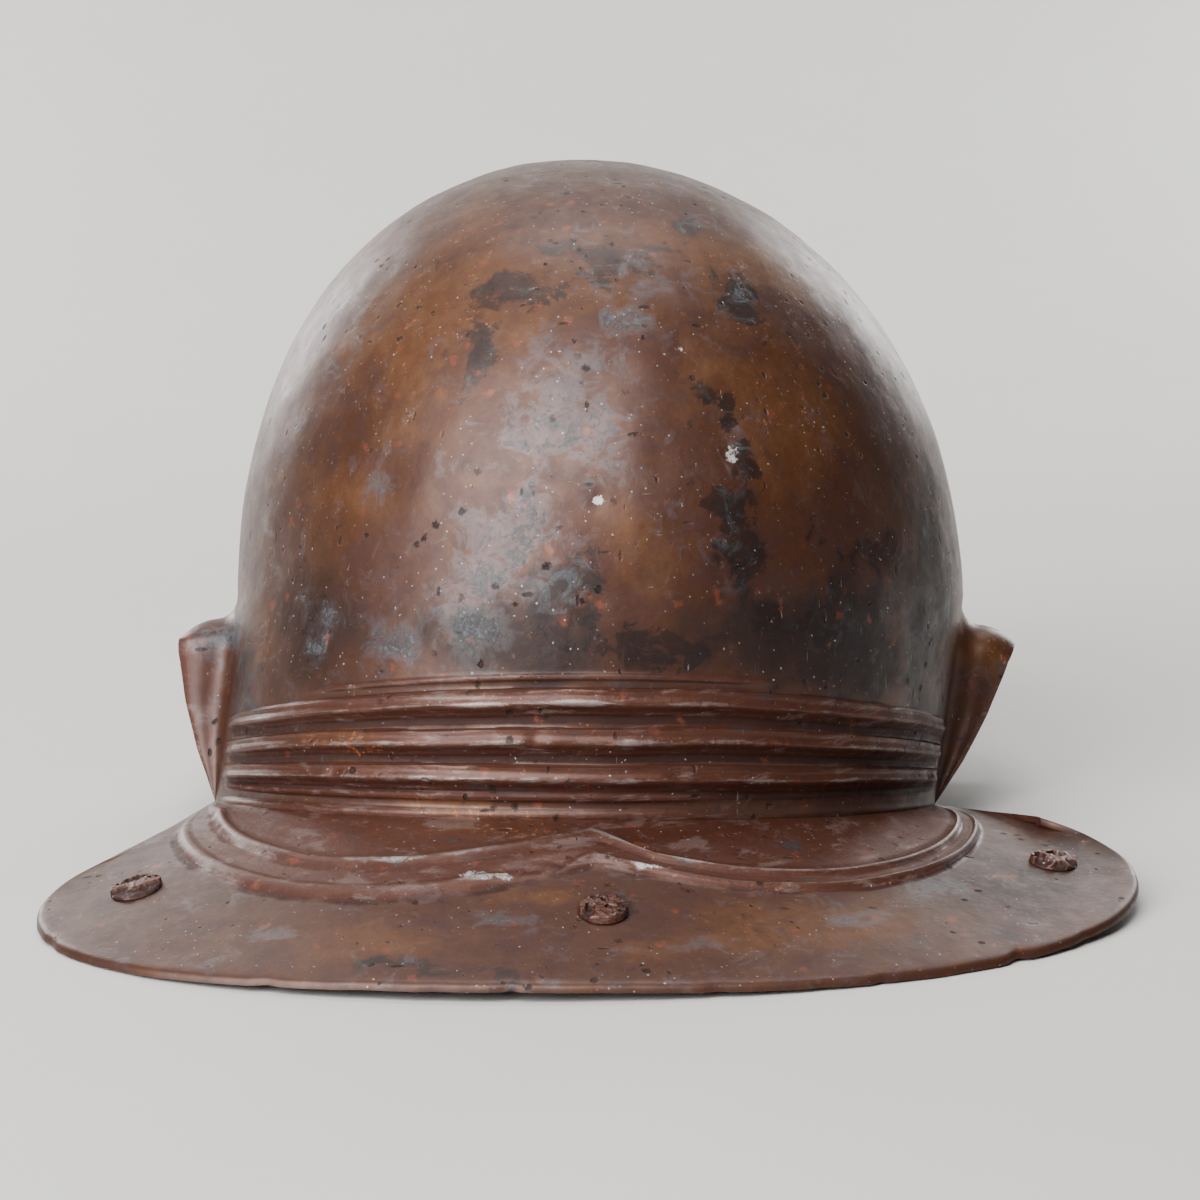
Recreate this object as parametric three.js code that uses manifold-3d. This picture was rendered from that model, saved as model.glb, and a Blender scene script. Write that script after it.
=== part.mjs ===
// Roman legionary helmet: the iron skull of an infantry helmet, as dug up, without its cheek pieces.
// The skull is one forged sheet: a tall bowl with ribs across the nape, a flange turned out round each ear,
// and a sloping neck guard with two raised crescents. Three bosses are riveted through the neck guard.
// Lengths are millimetres and angles are degrees. +X is the wearer's right, +Y the wearer's front, +Z up.
// The helmet is drawn level, as worn, with z = 0 at its widest section, and is then laid on its own rims.
import * as THREE from "three";
import { ConvexHull } from "three/addons/math/ConvexHull.js";
import { mergeVertices } from "three/addons/utils/BufferGeometryUtils.js";
import Module from "manifold-3d";

const wasm = await Module();
wasm.setup();

// Bowl
const bowlHalfWidth = 102.5;
const bowlBackLength = 110;
const bowlFrontLength = 116;
const crownHeight = 124.4;
const domeFullness = 2.09;
const backTaper = 0.085;
const frontTaper = 0.07;
const crownSway = -5.4;
const napeSway = -8.5;
const sheetWall = 1.6;

// Lower edges of the bowl, as depths below the widest section
const browDepth = 30;
const napeDepthBack = 64.5;
const napeDepthSide = 58.5;

// Ear openings and the flanges turned out round them
const earRearAngle = 75;
const earFrontAngle = 107;
const earTopDepth = 1.6;
const earCornerRadius = 18;
const earCornerBlend = 18;
const flangeRise = 84;
const flangeCurl = 46;
const flangeFillet = 6;
const flangeWidth = 17.5;

// Nape ribs
const ribCount = 3;
const ribRelief = 2.3;
const ribTopBack = 31.4;
const ribTopSide = 35.9;
const ribPitchBack = 9.5;
const ribPitchSide = 6.2;
const ribFade = 9;

// Neck guard. Its outline is two half ellipses that meet on a line across the wing tips.
const guardHalfWidth = 139.3;
const guardCentreX = -7.1;
const guardTipY = -92;
const guardRearDepth = 72;
const guardFrontDepth = 52;
const guardCornerAngle = 120;
const guardSlopeBack = 31.5;
const guardSlopeLeft = 19;
const guardSlopeRight = 5;
const guardEdgeWall = 2.3;
const guardEdgeBand = 2.4;
const guardEdgeStep = 1.4;

// Crescents on the neck guard, as distances out from the nape
const crescentCusp = 15.7;
const crescentEnd = 6;
const crescentBulge = 22.7;
const crescentSpacingCusp = 8.7;
const crescentSpacingLeft = 10.8;
const crescentSpacingRight = 5;
const crescentCuspAngle = 9;
const crescentLift = 2;
const crescentFade = 14;

// Bosses and the rivet shanks that hold them
const bossHeight = 1.7;
const bossRim = 1.6;
const shankRadius = 2;
const tailRadius = 3.6;
const tailHeight = 1;
const clearance = 0.3;
const bosses = [
  { name: "boss_left", angle: -54.6, distance: 45.3, radius: 6.4, hollow: 1.1, breaks: 2 },
  { name: "boss_centre", angle: 0.2, distance: 36.2, radius: 6, hollow: 0.5, breaks: 0 },
  { name: "boss_right", angle: 57.4, distance: 47.2, radius: 6, hollow: 0.8, breaks: 3 },
];

// Numbers of facets
const napeColumns = 36;
const earColumns = 6;
const frontColumns = 22;
const domeRows = 12;
const browRows = 3;
const flangeParts = 3;
const outlineSteps = 240;
const bossSides = 20;
const shankSides = 12;

const radians = Math.PI / 180;
const mix = THREE.MathUtils.lerp;
const smoothstep = THREE.MathUtils.smoothstep;

// A point of the bowl's outer face, from the angle round it (0 at the back, positive towards +X), its height
// over the widest section, its reach as a share of that section, and how far it stands proud.
function bowlPoint(angle, height, reach, relief) {
  const across = Math.sin(angle * radians);
  const back = Math.cos(angle * radians);
  const length = back > 0 ? bowlBackLength : bowlFrontLength;
  const rise = Math.max(height, 0) / crownHeight;
  const fall = Math.max(-height, 0) / napeDepthBack;
  const sway = crownSway * rise ** 1.5 + napeSway * fall;
  return new THREE.Vector3(
    across * (bowlHalfWidth * reach + relief) + sway,
    -back * (length * reach + relief),
    height,
  );
}

// A point of the dome, from the share of the way down from the crown to the widest section.
function domePoint(angle, share) {
  const fall = (share * Math.PI) / 2;
  const power = 2 / domeFullness;
  const height = share < 1 ? crownHeight * Math.cos(fall) ** power : 0;
  return bowlPoint(angle, height, Math.sin(fall) ** power, 0);
}

// A point of the bowl's wall below the widest section.
function wallPoint(angle, depth, relief = 0) {
  const back = Math.cos(angle * radians);
  const taper = (back > 0 ? backTaper : frontTaper) * back ** 2;
  return bowlPoint(angle, -depth, 1 - taper * (depth / napeDepthBack) ** 2, relief);
}

// Depths of the nape's features, which draw together towards the ears.
const towardsEar = (angle) => (angle / earRearAngle) ** 2;
const napeDepth = (angle) => mix(napeDepthBack, napeDepthSide, towardsEar(angle));
const ribDepth = (angle, ribs) =>
  mix(ribTopBack, ribTopSide, towardsEar(angle)) +
  ribs * mix(ribPitchBack, ribPitchSide, towardsEar(angle));

// One rib: it leans out to its crest and is undercut below. A drop is a share of the ribs' pitch.
const ribSections = [
  { drop: 0.04, relief: 0 },
  { drop: 0.16, relief: 0.45 },
  { drop: 0.42, relief: 1 },
  { drop: 0.64, relief: 0.6 },
  { drop: 0.84, relief: 0.05 },
];

// The rows of the nape from the ear's top down to the neck guard, each with its depth at an angle.
function napeRows() {
  const rows = [{ relief: 0, depth: rearCornerDepth }];
  for (const share of [0.35, 0.7])
    rows.push({ relief: 0, depth: (angle) => mix(earTopDepth, ribDepth(angle, 0), share) });
  for (let rib = 0; rib < ribCount; rib++)
    for (const { drop, relief } of ribSections)
      rows.push({ relief: relief * ribRelief, depth: (angle) => ribDepth(angle, rib + drop) });
  rows.push({
    relief: 0,
    depth: (angle) => mix(ribDepth(angle, ribCount), napeDepth(angle), 0.4),
  });
  rows.push({ relief: 0, depth: napeDepth });
  return rows;
}

// An ear opening is cut between two angles below a depth, and has round upper corners. How far a corner's
// curve stands in from an edge, at a distance along that edge from the corner.
function cornerOffset(distance) {
  if (distance <= 0) return earCornerRadius * (1 - Math.SQRT1_2);
  if (distance >= earCornerRadius) return 0;
  return earCornerRadius - Math.sqrt(earCornerRadius ** 2 - (earCornerRadius - distance) ** 2);
}
const cornerTurn = (depth) => cornerOffset(depth - earTopDepth) / bowlHalfWidth / radians;
const rearEdge = (depth) => earRearAngle + cornerTurn(depth);
const frontEdge = (depth) => earFrontAngle - cornerTurn(depth);

// The depth of the row that runs into an opening's upper corner, and that of the opening's upper edge.
const blendedDepth = (turn) =>
  earTopDepth + cornerOffset(0) * (1 - smoothstep(turn, 0, earCornerBlend));
const rearCornerDepth = (angle) => blendedDepth(earRearAngle - Math.abs(angle));
const frontCornerDepth = (angle) => blendedDepth(180 - earFrontAngle - Math.abs(180 - angle));
function openingDepth(share) {
  const turn = Math.min(share, 1 - share) * (earFrontAngle - earRearAngle);
  return earTopDepth + cornerOffset(turn * radians * bowlHalfWidth);
}

// The neck guard's outline in plan, from the left front corner to the right one.
const outlinePoints = Array.from({ length: outlineSteps + 1 }, (_, i) => {
  const turn = mix(-guardCornerAngle, guardCornerAngle, i / outlineSteps) * radians;
  const depth = Math.cos(turn) > 0 ? guardRearDepth : guardFrontDepth;
  return new THREE.Vector3(
    guardCentreX + guardHalfWidth * Math.sin(turn),
    guardTipY - depth * Math.cos(turn),
    0,
  );
});
const guardOutline = new THREE.CatmullRomCurve3(outlinePoints);
guardOutline.arcLengthDivisions = 4 * outlineSteps;

// A line down the neck guard's upper face from an angle round the nape: where it starts, which way it runs,
// how long it is in plan and how much it falls for each unit of that.
function guardLine(angle) {
  const root = wallPoint(angle, napeDepth(angle));
  const out = guardOutline.getPointAt((angle / earRearAngle + 1) / 2).sub(root).setZ(0);
  const side = angle < 0 ? guardSlopeLeft : guardSlopeRight;
  const slope = mix(guardSlopeBack, side, towardsEar(angle));
  return { root, length: out.length(), out: out.normalize(), fall: Math.tan(slope * radians) };
}
function guardPoint(line, distance, lift = 0) {
  const point = line.root.clone().addScaledVector(line.out, distance);
  point.z += lift - line.fall * distance;
  return point;
}

// Rows of the neck guard. Inside the crescents a row is a share of the way to them, on them it is a number of
// spacings from the outer ridge, and outside them it is a share of the way on to the thick edge.
const guardInner = [
  { share: 0, lift: 0 },
  { share: 0.2, lift: 0.3 },
  { share: 0.55, lift: 0.4 },
  { share: 1, lift: 0.55 },
];
const guardRidges = [
  { spacings: -1, lift: 1 },
  { spacings: -0.74, lift: 0.5 },
  { spacings: -0.3, lift: 0.42 },
  { spacings: 0, lift: 0.8 },
  { spacings: 0.26, lift: 0.3 },
  { spacings: 0.52, lift: 0 },
];
const guardOuter = [
  { share: 0.33, band: 0, wall: sheetWall },
  { share: 0.66, band: 0, wall: sheetWall },
  { share: 1, band: 0, wall: sheetWall },
  { share: 1, band: guardEdgeStep, wall: guardEdgeWall },
  { share: 1, band: guardEdgeStep + guardEdgeBand, wall: guardEdgeWall },
];
function crescentSpacing(angle) {
  const side = angle < 0 ? crescentSpacingLeft : crescentSpacingRight;
  return mix(crescentSpacingCusp, side, smoothstep(Math.abs(angle), 0, crescentCuspAngle));
}
function guardRows(angle, length) {
  const round = Math.abs(angle) / earRearAngle;
  const ridge = mix(crescentCusp, crescentEnd, round) + crescentBulge * Math.sin(Math.PI * round);
  const spacing = Math.min(crescentSpacing(angle), ridge / 1.6);
  const lift = crescentLift * smoothstep(earRearAngle - Math.abs(angle), 0, crescentFade);
  const last = ridge + guardRidges.at(-1).spacings * spacing;
  const bandStart = length - guardEdgeStep - guardEdgeBand;
  return [
    ...guardInner.map((row) => ({
      distance: row.share * (ridge - 1.25 * spacing),
      lift: row.lift * lift,
      wall: sheetWall,
    })),
    ...guardRidges.map((row) => ({
      distance: ridge + row.spacings * spacing,
      lift: row.lift * lift,
      wall: sheetWall,
    })),
    ...guardOuter.map((row) => ({
      distance: mix(last, bandStart, row.share) + row.band,
      lift: 0,
      wall: row.wall,
    })),
  ];
}

// A sheet of metal. Each corner keeps its place, the same place on the plain sheet without its relief, the
// metal's thickness there and, where it isn't the sheet's own inward side, the way it is thickened. Corners
// at the same place are one.
class Sheet {
  corners = [];
  faces = [];
  known = new Map();
  corner({ point, plain = point, wall = sheetWall, inward = null }) {
    const key = point.toArray().map((v) => v.toFixed(3)).join(" ");
    if (!this.known.has(key)) {
      this.known.set(key, this.corners.length);
      this.corners.push({ point, plain, wall, inward });
    }
    return this.known.get(key);
  }
  triangle(a, b, c) {
    if (a !== b && b !== c && c !== a) this.faces.push([a, b, c]);
  }
  // Adds a grid of columns that run left to right over the outer face, with rows that run down it.
  add(columns) {
    const grid = columns.map((column) => column.map((corner) => this.corner(corner)));
    const gap = (a, b) => this.corners[a].point.distanceTo(this.corners[b].point);
    for (let i = 0; i + 1 < grid.length; i++)
      for (let j = 0; j + 1 < grid[i].length; j++) {
        const [a, b, c, d] = [grid[i][j], grid[i + 1][j], grid[i + 1][j + 1], grid[i][j + 1]];
        const split = gap(a, c) < gap(b, d) ? [[a, d, c], [a, c, b]] : [[a, d, b], [b, d, c]];
        for (const face of split) this.triangle(...face);
      }
  }
  normals() {
    const normals = this.corners.map(() => new THREE.Vector3());
    for (const face of this.faces) {
      const [a, b, c] = face.map((i) => this.corners[i].plain);
      const normal = b.clone().sub(a).cross(c.clone().sub(a)).normalize();
      for (const i of face) normals[i].add(normal);
    }
    return normals.map((normal) => normal.normalize());
  }
  // The sheet thickened inwards. The brow rim's corners go in level, which keeps that rim flat.
  thickened() {
    const normals = this.normals();
    const outer = this.corners.map(({ point }) => point);
    const inner = this.corners.map(({ point, wall, inward }, i) => {
      const onBrow = point.y > 0 && Math.abs(point.z + browDepth) < 0.01;
      if (onBrow) normals[i].setZ(0).normalize();
      return point.clone().addScaledVector(inward ?? normals[i].negate(), wall);
    });
    const shift = outer.length;
    const triangles = [...this.faces];
    for (const [a, b, c] of this.faces) triangles.push([a + shift, c + shift, b + shift]);
    const edges = new Set(this.faces.flatMap(([a, b, c]) => [`${a} ${b}`, `${b} ${c}`, `${c} ${a}`]));
    for (const edge of edges) {
      const [a, b] = edge.split(" ").map(Number);
      if (!edges.has(`${b} ${a}`)) triangles.push([b, a, a + shift], [b, a + shift, b + shift]);
    }
    return solidFrom([...outer, ...inner].flatMap((point) => point.toArray()), triangles.flat());
  }
}

function solidFrom(numbers, triangles) {
  return new wasm.Manifold(
    new wasm.Mesh({
      numProp: 3,
      vertProperties: new Float32Array(numbers),
      triVerts: new Uint32Array(triangles),
    }),
  );
}
function solidOf(geometry) {
  geometry.deleteAttribute("normal");
  geometry.deleteAttribute("uv");
  const merged = mergeVertices(geometry, 1e-4);
  return solidFrom(merged.attributes.position.array, merged.index.array);
}
function geometryOf(solid) {
  const mesh = solid.getMesh();
  const geometry = new THREE.BufferGeometry();
  geometry.setAttribute("position", new THREE.BufferAttribute(mesh.vertProperties, 3));
  geometry.setIndex(new THREE.BufferAttribute(mesh.triVerts, 1));
  geometry.computeVertexNormals();
  return geometry;
}

// Columns of the skull's sheet, from the crown down. A corner's place is found at a share of the way round
// its own part of the bowl, so that the rows' ends follow the ear openings' edges.
const domeShares = Array.from({ length: domeRows + 1 }, (_, j) => (j / domeRows) ** 0.9);
const domeColumn = (angle) => domeShares.map((share) => ({ point: domePoint(angle, share) }));
const down = new THREE.Vector3(0, 0, -1);
const shares = (count) => Array.from({ length: count + 1 }, (_, i) => i / count);

function backColumn(share) {
  const round = 2 * share - 1;
  const angle = round * earRearAngle;
  const nape = napeRows().map(({ depth, relief }, row) => {
    const turned = round * rearEdge(row === 0 ? 0 : depth(earRearAngle));
    const deep = depth(row === 0 ? angle : turned);
    const proud = relief * smoothstep(earRearAngle - Math.abs(angle), 0, ribFade);
    return { point: wallPoint(turned, deep, proud), plain: wallPoint(turned, deep) };
  });
  const line = guardLine(angle);
  const guard = guardRows(angle, line.length).map(({ distance, lift, wall }) => ({
    point: guardPoint(line, distance, lift),
    plain: guardPoint(line, distance),
    wall,
    inward: down,
  }));
  return [...domeColumn(angle), ...nape, ...guard.slice(1)];
}
function frontColumn(share) {
  const round = 2 * share - 1;
  const angle = 180 + round * (180 - earFrontAngle);
  const brow = shares(browRows).map((down, row) => {
    const depth = mix(earTopDepth, browDepth, down);
    const turned = 180 + round * (180 - frontEdge(row === 0 ? 0 : depth));
    return { point: wallPoint(turned, row === 0 ? frontCornerDepth(angle) : depth) };
  });
  return [...domeColumn(angle), ...brow];
}
function earColumn(share, side) {
  const angle = side * mix(earRearAngle, earFrontAngle, share);
  const turned = side * mix(rearEdge(0), frontEdge(0), share);
  return [...domeColumn(angle), { point: wallPoint(turned, openingDepth(share)) }];
}

// The flange's width, as shares of its full width along the opening's edge from the nape to the brow.
const flangeWidths = [
  { along: 0, width: 0 },
  { along: 0.1, width: 0.4 },
  { along: 0.2, width: 0.7 },
  { along: 0.3, width: 0.93 },
  { along: 0.42, width: 0.97 },
  { along: 0.6, width: 1 },
  { along: 0.8, width: 0.9 },
  { along: 1, width: 0.35 },
];
function flangeWidthAt(along) {
  const next = Math.max(1, flangeWidths.findIndex((row) => row.along >= along));
  const [from, to] = [flangeWidths[next - 1], flangeWidths[next]];
  return flangeWidth * mix(from.width, to.width, (along - from.along) / (to.along - from.along));
}

// The flange on one side: it leaves the opening's edge in line with the wall, turns out through a fillet and
// curls back a little towards its rim. A turn is the angle between the flange and the wall.
function flangeColumns(path, side) {
  const lengths = [0];
  for (let i = 1; i < path.length; i++)
    lengths.push(lengths[i - 1] + path[i].distanceTo(path[i - 1]));
  return path.map((start, i) => {
    const before = path[Math.max(i - 1, 0)];
    const after = path[Math.min(i + 1, path.length - 1)];
    const along = after.clone().sub(before).normalize();
    const outward = new THREE.Vector3(
      start.x / bowlHalfWidth ** 2,
      start.y / bowlBackLength ** 2,
      0,
    ).normalize();
    outward.addScaledVector(along, -outward.dot(along)).normalize();
    const onward = along.clone().cross(outward).multiplyScalar(side);
    const width = flangeWidthAt(lengths[i] / lengths.at(-1));
    const fillet = Math.min(flangeFillet, width / 2);
    const column = [{ point: start }];
    let turn = 0;
    const step = (bend, length) => {
      turn += bend;
      const way = turn * radians;
      const point = column.at(-1).point.clone();
      point.addScaledVector(onward, length * Math.cos(way));
      column.push({ point: point.addScaledVector(outward, length * Math.sin(way)) });
    };
    const arc = fillet * flangeRise * radians;
    step(flangeRise / 4, arc / 2);
    step(flangeRise / 2, arc / 2);
    const bend = -flangeCurl / flangeParts;
    for (let part = 0; part < flangeParts; part++) {
      const first = flangeRise / 4 + bend / 2;
      step(part ? bend : first, (width - fillet) / flangeParts);
    }
    return column;
  });
}

function buildSkullSheet() {
  const sheet = new Sheet();
  const back = shares(napeColumns).map(backColumn);
  const front = shares(frontColumns).map(frontColumn);
  sheet.add(back);
  sheet.add(front);
  for (const side of [-1, 1]) {
    const ear = shares(earColumns).map((share) => earColumn(share, side));
    const napeStart = domeShares.length;
    const rear = back.at(side < 0 ? 0 : -1).slice(napeStart, napeStart + napeRows().length);
    const brow = front.at(side < 0 ? -1 : 0).slice(napeStart);
    const over = ear.slice(1, -1).map((column) => column.at(-1));
    const path = [...rear.reverse(), ...over, ...brow].map(({ point }) => point);
    const flange = flangeColumns(path, side);
    sheet.add(side < 0 ? ear.reverse() : ear);
    sheet.add(side < 0 ? flange.reverse() : flange);
  }
  return sheet;
}

// A boss on its rivet, drawn upright with z = 0 on the neck guard's upper face.
function lathe(profile, sides) {
  const points = profile.map(([radius, height]) => new THREE.Vector2(radius, height));
  return solidOf(new THREE.LatheGeometry(points, sides).rotateX(Math.PI / 2));
}
function buildBoss({ radius, hollow, breaks }) {
  const top = clearance + bossHeight;
  const tailTop = -sheetWall - clearance;
  let boss = lathe(
    [
      [0, tailTop - tailHeight],
      [tailRadius * 0.8, tailTop - tailHeight],
      [tailRadius, tailTop - tailHeight / 2],
      [tailRadius, tailTop],
      [shankRadius, tailTop],
      [shankRadius, clearance],
      [radius, clearance],
      [radius, top - bossHeight / 3],
      [radius - bossHeight / 3, top],
      [radius - bossRim, top],
      [radius - bossRim - hollow, top - hollow],
      [0, top - hollow],
    ],
    bossSides,
  );
  for (let i = 0; i < breaks; i++) {
    const turn = (i / breaks + 0.07) * 2 * Math.PI;
    const bite = new THREE.IcosahedronGeometry(radius * 0.42, 1).translate(
      Math.cos(turn) * radius * 1.12,
      Math.sin(turn) * radius * 1.12,
      top,
    );
    boss = boss.subtract(solidOf(bite));
  }
  return boss;
}
function buildHole() {
  const drill = new THREE.CylinderGeometry(
    shankRadius + clearance,
    shankRadius + clearance,
    8 * sheetWall,
    shankSides,
  );
  return solidOf(drill.rotateX(Math.PI / 2));
}

// Where a boss stands: its place on the neck guard and the turn that sets it square to the sheet there.
function bossFrame({ angle, distance }) {
  const point = guardPoint(guardLine(angle), distance);
  const further = guardPoint(guardLine(angle), distance + 1).sub(point);
  const beside = guardPoint(guardLine(angle + 1), distance).sub(point);
  const normal = beside.cross(further).negate().normalize();
  const turn = new THREE.Quaternion().setFromUnitVectors(new THREE.Vector3(0, 0, 1), normal);
  return new THREE.Matrix4().compose(point, turn, new THREE.Vector3(1, 1, 1));
}

// The turn that lays the helmet on its rims: the lowest side of the hull that its weight stands over.
function restingTurn(solid) {
  const { vertProperties: numbers, triVerts } = solid.getMesh();
  const points = [];
  for (let i = 0; i < numbers.length; i += 3)
    points.push(new THREE.Vector3(numbers[i], numbers[i + 1], numbers[i + 2]));
  const centre = new THREE.Vector3();
  let volume = 0;
  for (let i = 0; i < triVerts.length; i += 3) {
    const [a, b, c] = [0, 1, 2].map((k) => points[triVerts[i + k]]);
    const part = a.dot(b.clone().cross(c)) / 6;
    volume += part;
    centre.addScaledVector(a, part / 4).addScaledVector(b, part / 4).addScaledVector(c, part / 4);
  }
  centre.divideScalar(volume);
  const hull = new ConvexHull().setFromPoints(points);
  const foot = hull.faces
    .filter((face) => {
      const corners = [face.edge, face.edge.next, face.edge.prev].map((edge) => edge.head().point);
      const below = new THREE.Plane(face.normal, -face.constant).projectPoint(centre, new THREE.Vector3());
      return new THREE.Triangle(...corners).containsPoint(below);
    })
    .reduce((low, face) => (face.normal.z < low.normal.z ? face : low));
  return new THREE.Quaternion().setFromUnitVectors(foot.normal, new THREE.Vector3(0, 0, -1));
}

let skull = buildSkullSheet().thickened();
const pieces = bosses.map((boss) => {
  const frame = bossFrame(boss);
  skull = skull.subtract(solidOf(geometryOf(buildHole()).applyMatrix4(frame)));
  return { name: boss.name, geometry: geometryOf(buildBoss(boss)).applyMatrix4(frame) };
});
pieces.unshift({ name: "skull", geometry: geometryOf(skull) });

const iron = new THREE.MeshStandardMaterial({ color: 0x4a3328, metalness: 0.7, roughness: 0.5 });
const bossIron = new THREE.MeshStandardMaterial({ color: 0x3a2c26, metalness: 0.6, roughness: 0.6 });
const helmet = new THREE.Group();
helmet.name = "helmet";
helmet.quaternion.copy(restingTurn(skull));
for (const { name, geometry } of pieces) {
  const mesh = new THREE.Mesh(geometry, name === "skull" ? iron : bossIron);
  mesh.name = name;
  helmet.add(mesh);
}
helmet.updateMatrixWorld(true);
const box = new THREE.Box3().setFromObject(helmet, true);
const middle = box.getCenter(new THREE.Vector3());
helmet.position.set(-middle.x, -middle.y, -box.min.z);

const root = new THREE.Group();
root.name = "roman_legionary_helmet";
root.add(helmet);
export default root;
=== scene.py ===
"""Roman legionary helmet: the iron skull of an infantry helmet as dug up, dressed over its solid model.

Sizes are millimetres in the helmet's own level frame, as it is worn: z = 0 at the bowl's widest section
and +Y the way the wearer faces. Angles are degrees round the bowl from the back, positive towards +X. The
finished meshes are metres in the frame's axes, with the helmet lying on its rims.
"""

import math

import bmesh
import bpy
from bpy.props import FloatProperty, FloatVectorProperty, PointerProperty
from mathutils import Matrix, Quaternion, Vector, noise


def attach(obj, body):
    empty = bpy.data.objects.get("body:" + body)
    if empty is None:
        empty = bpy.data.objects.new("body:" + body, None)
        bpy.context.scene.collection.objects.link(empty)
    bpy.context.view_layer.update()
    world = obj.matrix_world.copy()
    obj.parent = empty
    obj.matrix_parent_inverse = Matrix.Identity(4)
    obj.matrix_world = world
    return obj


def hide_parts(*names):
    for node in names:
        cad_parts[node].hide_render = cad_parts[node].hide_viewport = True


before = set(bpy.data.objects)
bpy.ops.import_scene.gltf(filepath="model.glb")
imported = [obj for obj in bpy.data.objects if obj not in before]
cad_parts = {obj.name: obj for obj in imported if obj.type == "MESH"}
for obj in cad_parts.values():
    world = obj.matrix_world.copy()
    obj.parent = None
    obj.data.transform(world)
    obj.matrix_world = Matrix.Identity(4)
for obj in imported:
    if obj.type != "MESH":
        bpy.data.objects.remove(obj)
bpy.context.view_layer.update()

bl_info = {
    "name": "Roman Legionary Helmet",
    "version": (1, 0, 0),
    "blender": (4, 5, 0),
    "location": "View3D > Sidebar > Helmet",
    "description": "Builds a corroded iron infantry helmet with its neck guard bosses and a plain studio",
    "category": "Object",
}

MM = 0.001

# How the helmet lies on its rims: turned forward about an axis close to -X, then set down.
REST_ANGLE = math.radians(15.636)
REST_AXIS = Vector((-0.99516, 0.09824, 0.0))
REST_OFFSET = Vector((8.956, 34.552, 59.539))
REST = Matrix.Translation(REST_OFFSET) @ Quaternion(REST_AXIS, REST_ANGLE).to_matrix().to_4x4()

# The bowl
BOWL_HALF_WIDTH = 102.5
BOWL_BACK = 110.0
BOWL_FRONT = 116.0
CROWN_HEIGHT = 124.4
DOME_FULLNESS = 2.09
BACK_TAPER = 0.085
FRONT_TAPER = 0.07
CROWN_SWAY = -5.4
NAPE_SWAY = -8.5
SHEET_WALL = 1.6
BROW_DEPTH = 30.0
NAPE_DEPTH_BACK = 64.5
NAPE_DEPTH_SIDE = 58.5

# Ear openings and their flanges
EAR_REAR = 75.0
EAR_FRONT = 107.0
EAR_TOP = 1.6
EAR_CORNER = 15.0
EAR_BLEND = 18.0
FLANGE_RISE = 84.0
FLANGE_CURL = 46.0
FLANGE_FILLET = 6.0
FLANGE_WIDTH = 17.5
# The flange's width: share of the way along the opening's edge, share of the full width
FLANGE_WIDTHS = (
    (0.0, 0.0),
    (0.1, 0.4),
    (0.2, 0.7),
    (0.3, 0.93),
    (0.42, 0.97),
    (0.6, 1.0),
    (0.8, 0.9),
    (1.0, 0.35),
)

# Nape ribs
RIB_COUNT = 3
RIB_RELIEF = 2.3
RIB_TOP_BACK = 31.4
RIB_TOP_SIDE = 35.9
RIB_PITCH_BACK = 9.5
RIB_PITCH_SIDE = 6.2
RIB_FADE = 9.0

# Neck guard and its crescents
GUARD_HALF_WIDTH = 139.3
GUARD_CENTRE_X = -7.1
GUARD_TIP_Y = -92.0
GUARD_REAR = 72.0
GUARD_FRONT = 52.0
GUARD_CORNER = 120.0
SLOPE_BACK = 31.5
SLOPE_LEFT = 19.0
SLOPE_RIGHT = 5.0
CRESCENT_CUSP = 15.7
CRESCENT_END = 6.0
CRESCENT_BULGE = 22.7
SPACING_CUSP = 8.7
SPACING_LEFT = 10.8
SPACING_RIGHT = 5.0
CUSP_ANGLE = 9.0
CRESCENT_LIFT = 2.0
CRESCENT_FADE = 14.0
# The ridges' relief starts and ends at these spacings inside and outside the outer ridge
RELIEF_START = 1.25
RELIEF_END = 0.62
# The outer ridge stays at least this many spacings away from the nape
LEAST_SPACINGS = 1.6

# Numbers of faces
NAPE_COLUMNS = 176
EAR_COLUMNS = 18
FRONT_COLUMNS = 64
DOME_ROWS = 78
# Below 1, the dome's rows are closer together towards its widest section
DOME_CROWDING = 0.92
PLAIN_ROWS = 12
RIB_ROWS = 15
BASE_ROWS = 4
NAPE_ROWS = PLAIN_ROWS + (RIB_COUNT + 1) * RIB_ROWS + BASE_ROWS + 1
BROW_ROWS = 14
FLANGE_ROWS = 12
FILLET_ROWS = 5
RIM_ROWS = 4
OUTLINE_STEPS = 720


def mix(start, end, share):
    return start + (end - start) * share


def clamp(value, low=0.0, high=1.0):
    return min(max(value, low), high)


def smooth(value, low=0.0, high=1.0):
    share = clamp((value - low) / (high - low))
    return share * share * (3 - 2 * share)


def along_table(table, place):
    """The value of a table of (place, value) rows at a place, eased from row to row."""
    for (start, low), (end, high) in zip(table, table[1:]):
        if place <= end:
            return mix(low, high, smooth(place, start, end))
    return table[-1][1]


def grain(point, size, octaves=3):
    """Soft noise from -1 to 1 at a point, with features of that size."""
    return noise.fractal(point / size, 1.0, 2.0, octaves)


# The plain shape in the level frame


def bowl_point(angle, height, reach, relief=0.0):
    """A point of the bowl at an angle and height. Its reach is a share of the widest section."""
    across = math.sin(math.radians(angle))
    back = math.cos(math.radians(angle))
    length = BOWL_BACK if back > 0 else BOWL_FRONT
    rise = max(height, 0.0) / CROWN_HEIGHT
    fall = max(-height, 0.0) / NAPE_DEPTH_BACK
    sway = CROWN_SWAY * rise**1.5 + NAPE_SWAY * fall
    x = across * (BOWL_HALF_WIDTH * reach + relief) + sway
    return Vector((x, -back * (length * reach + relief), height))


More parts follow.
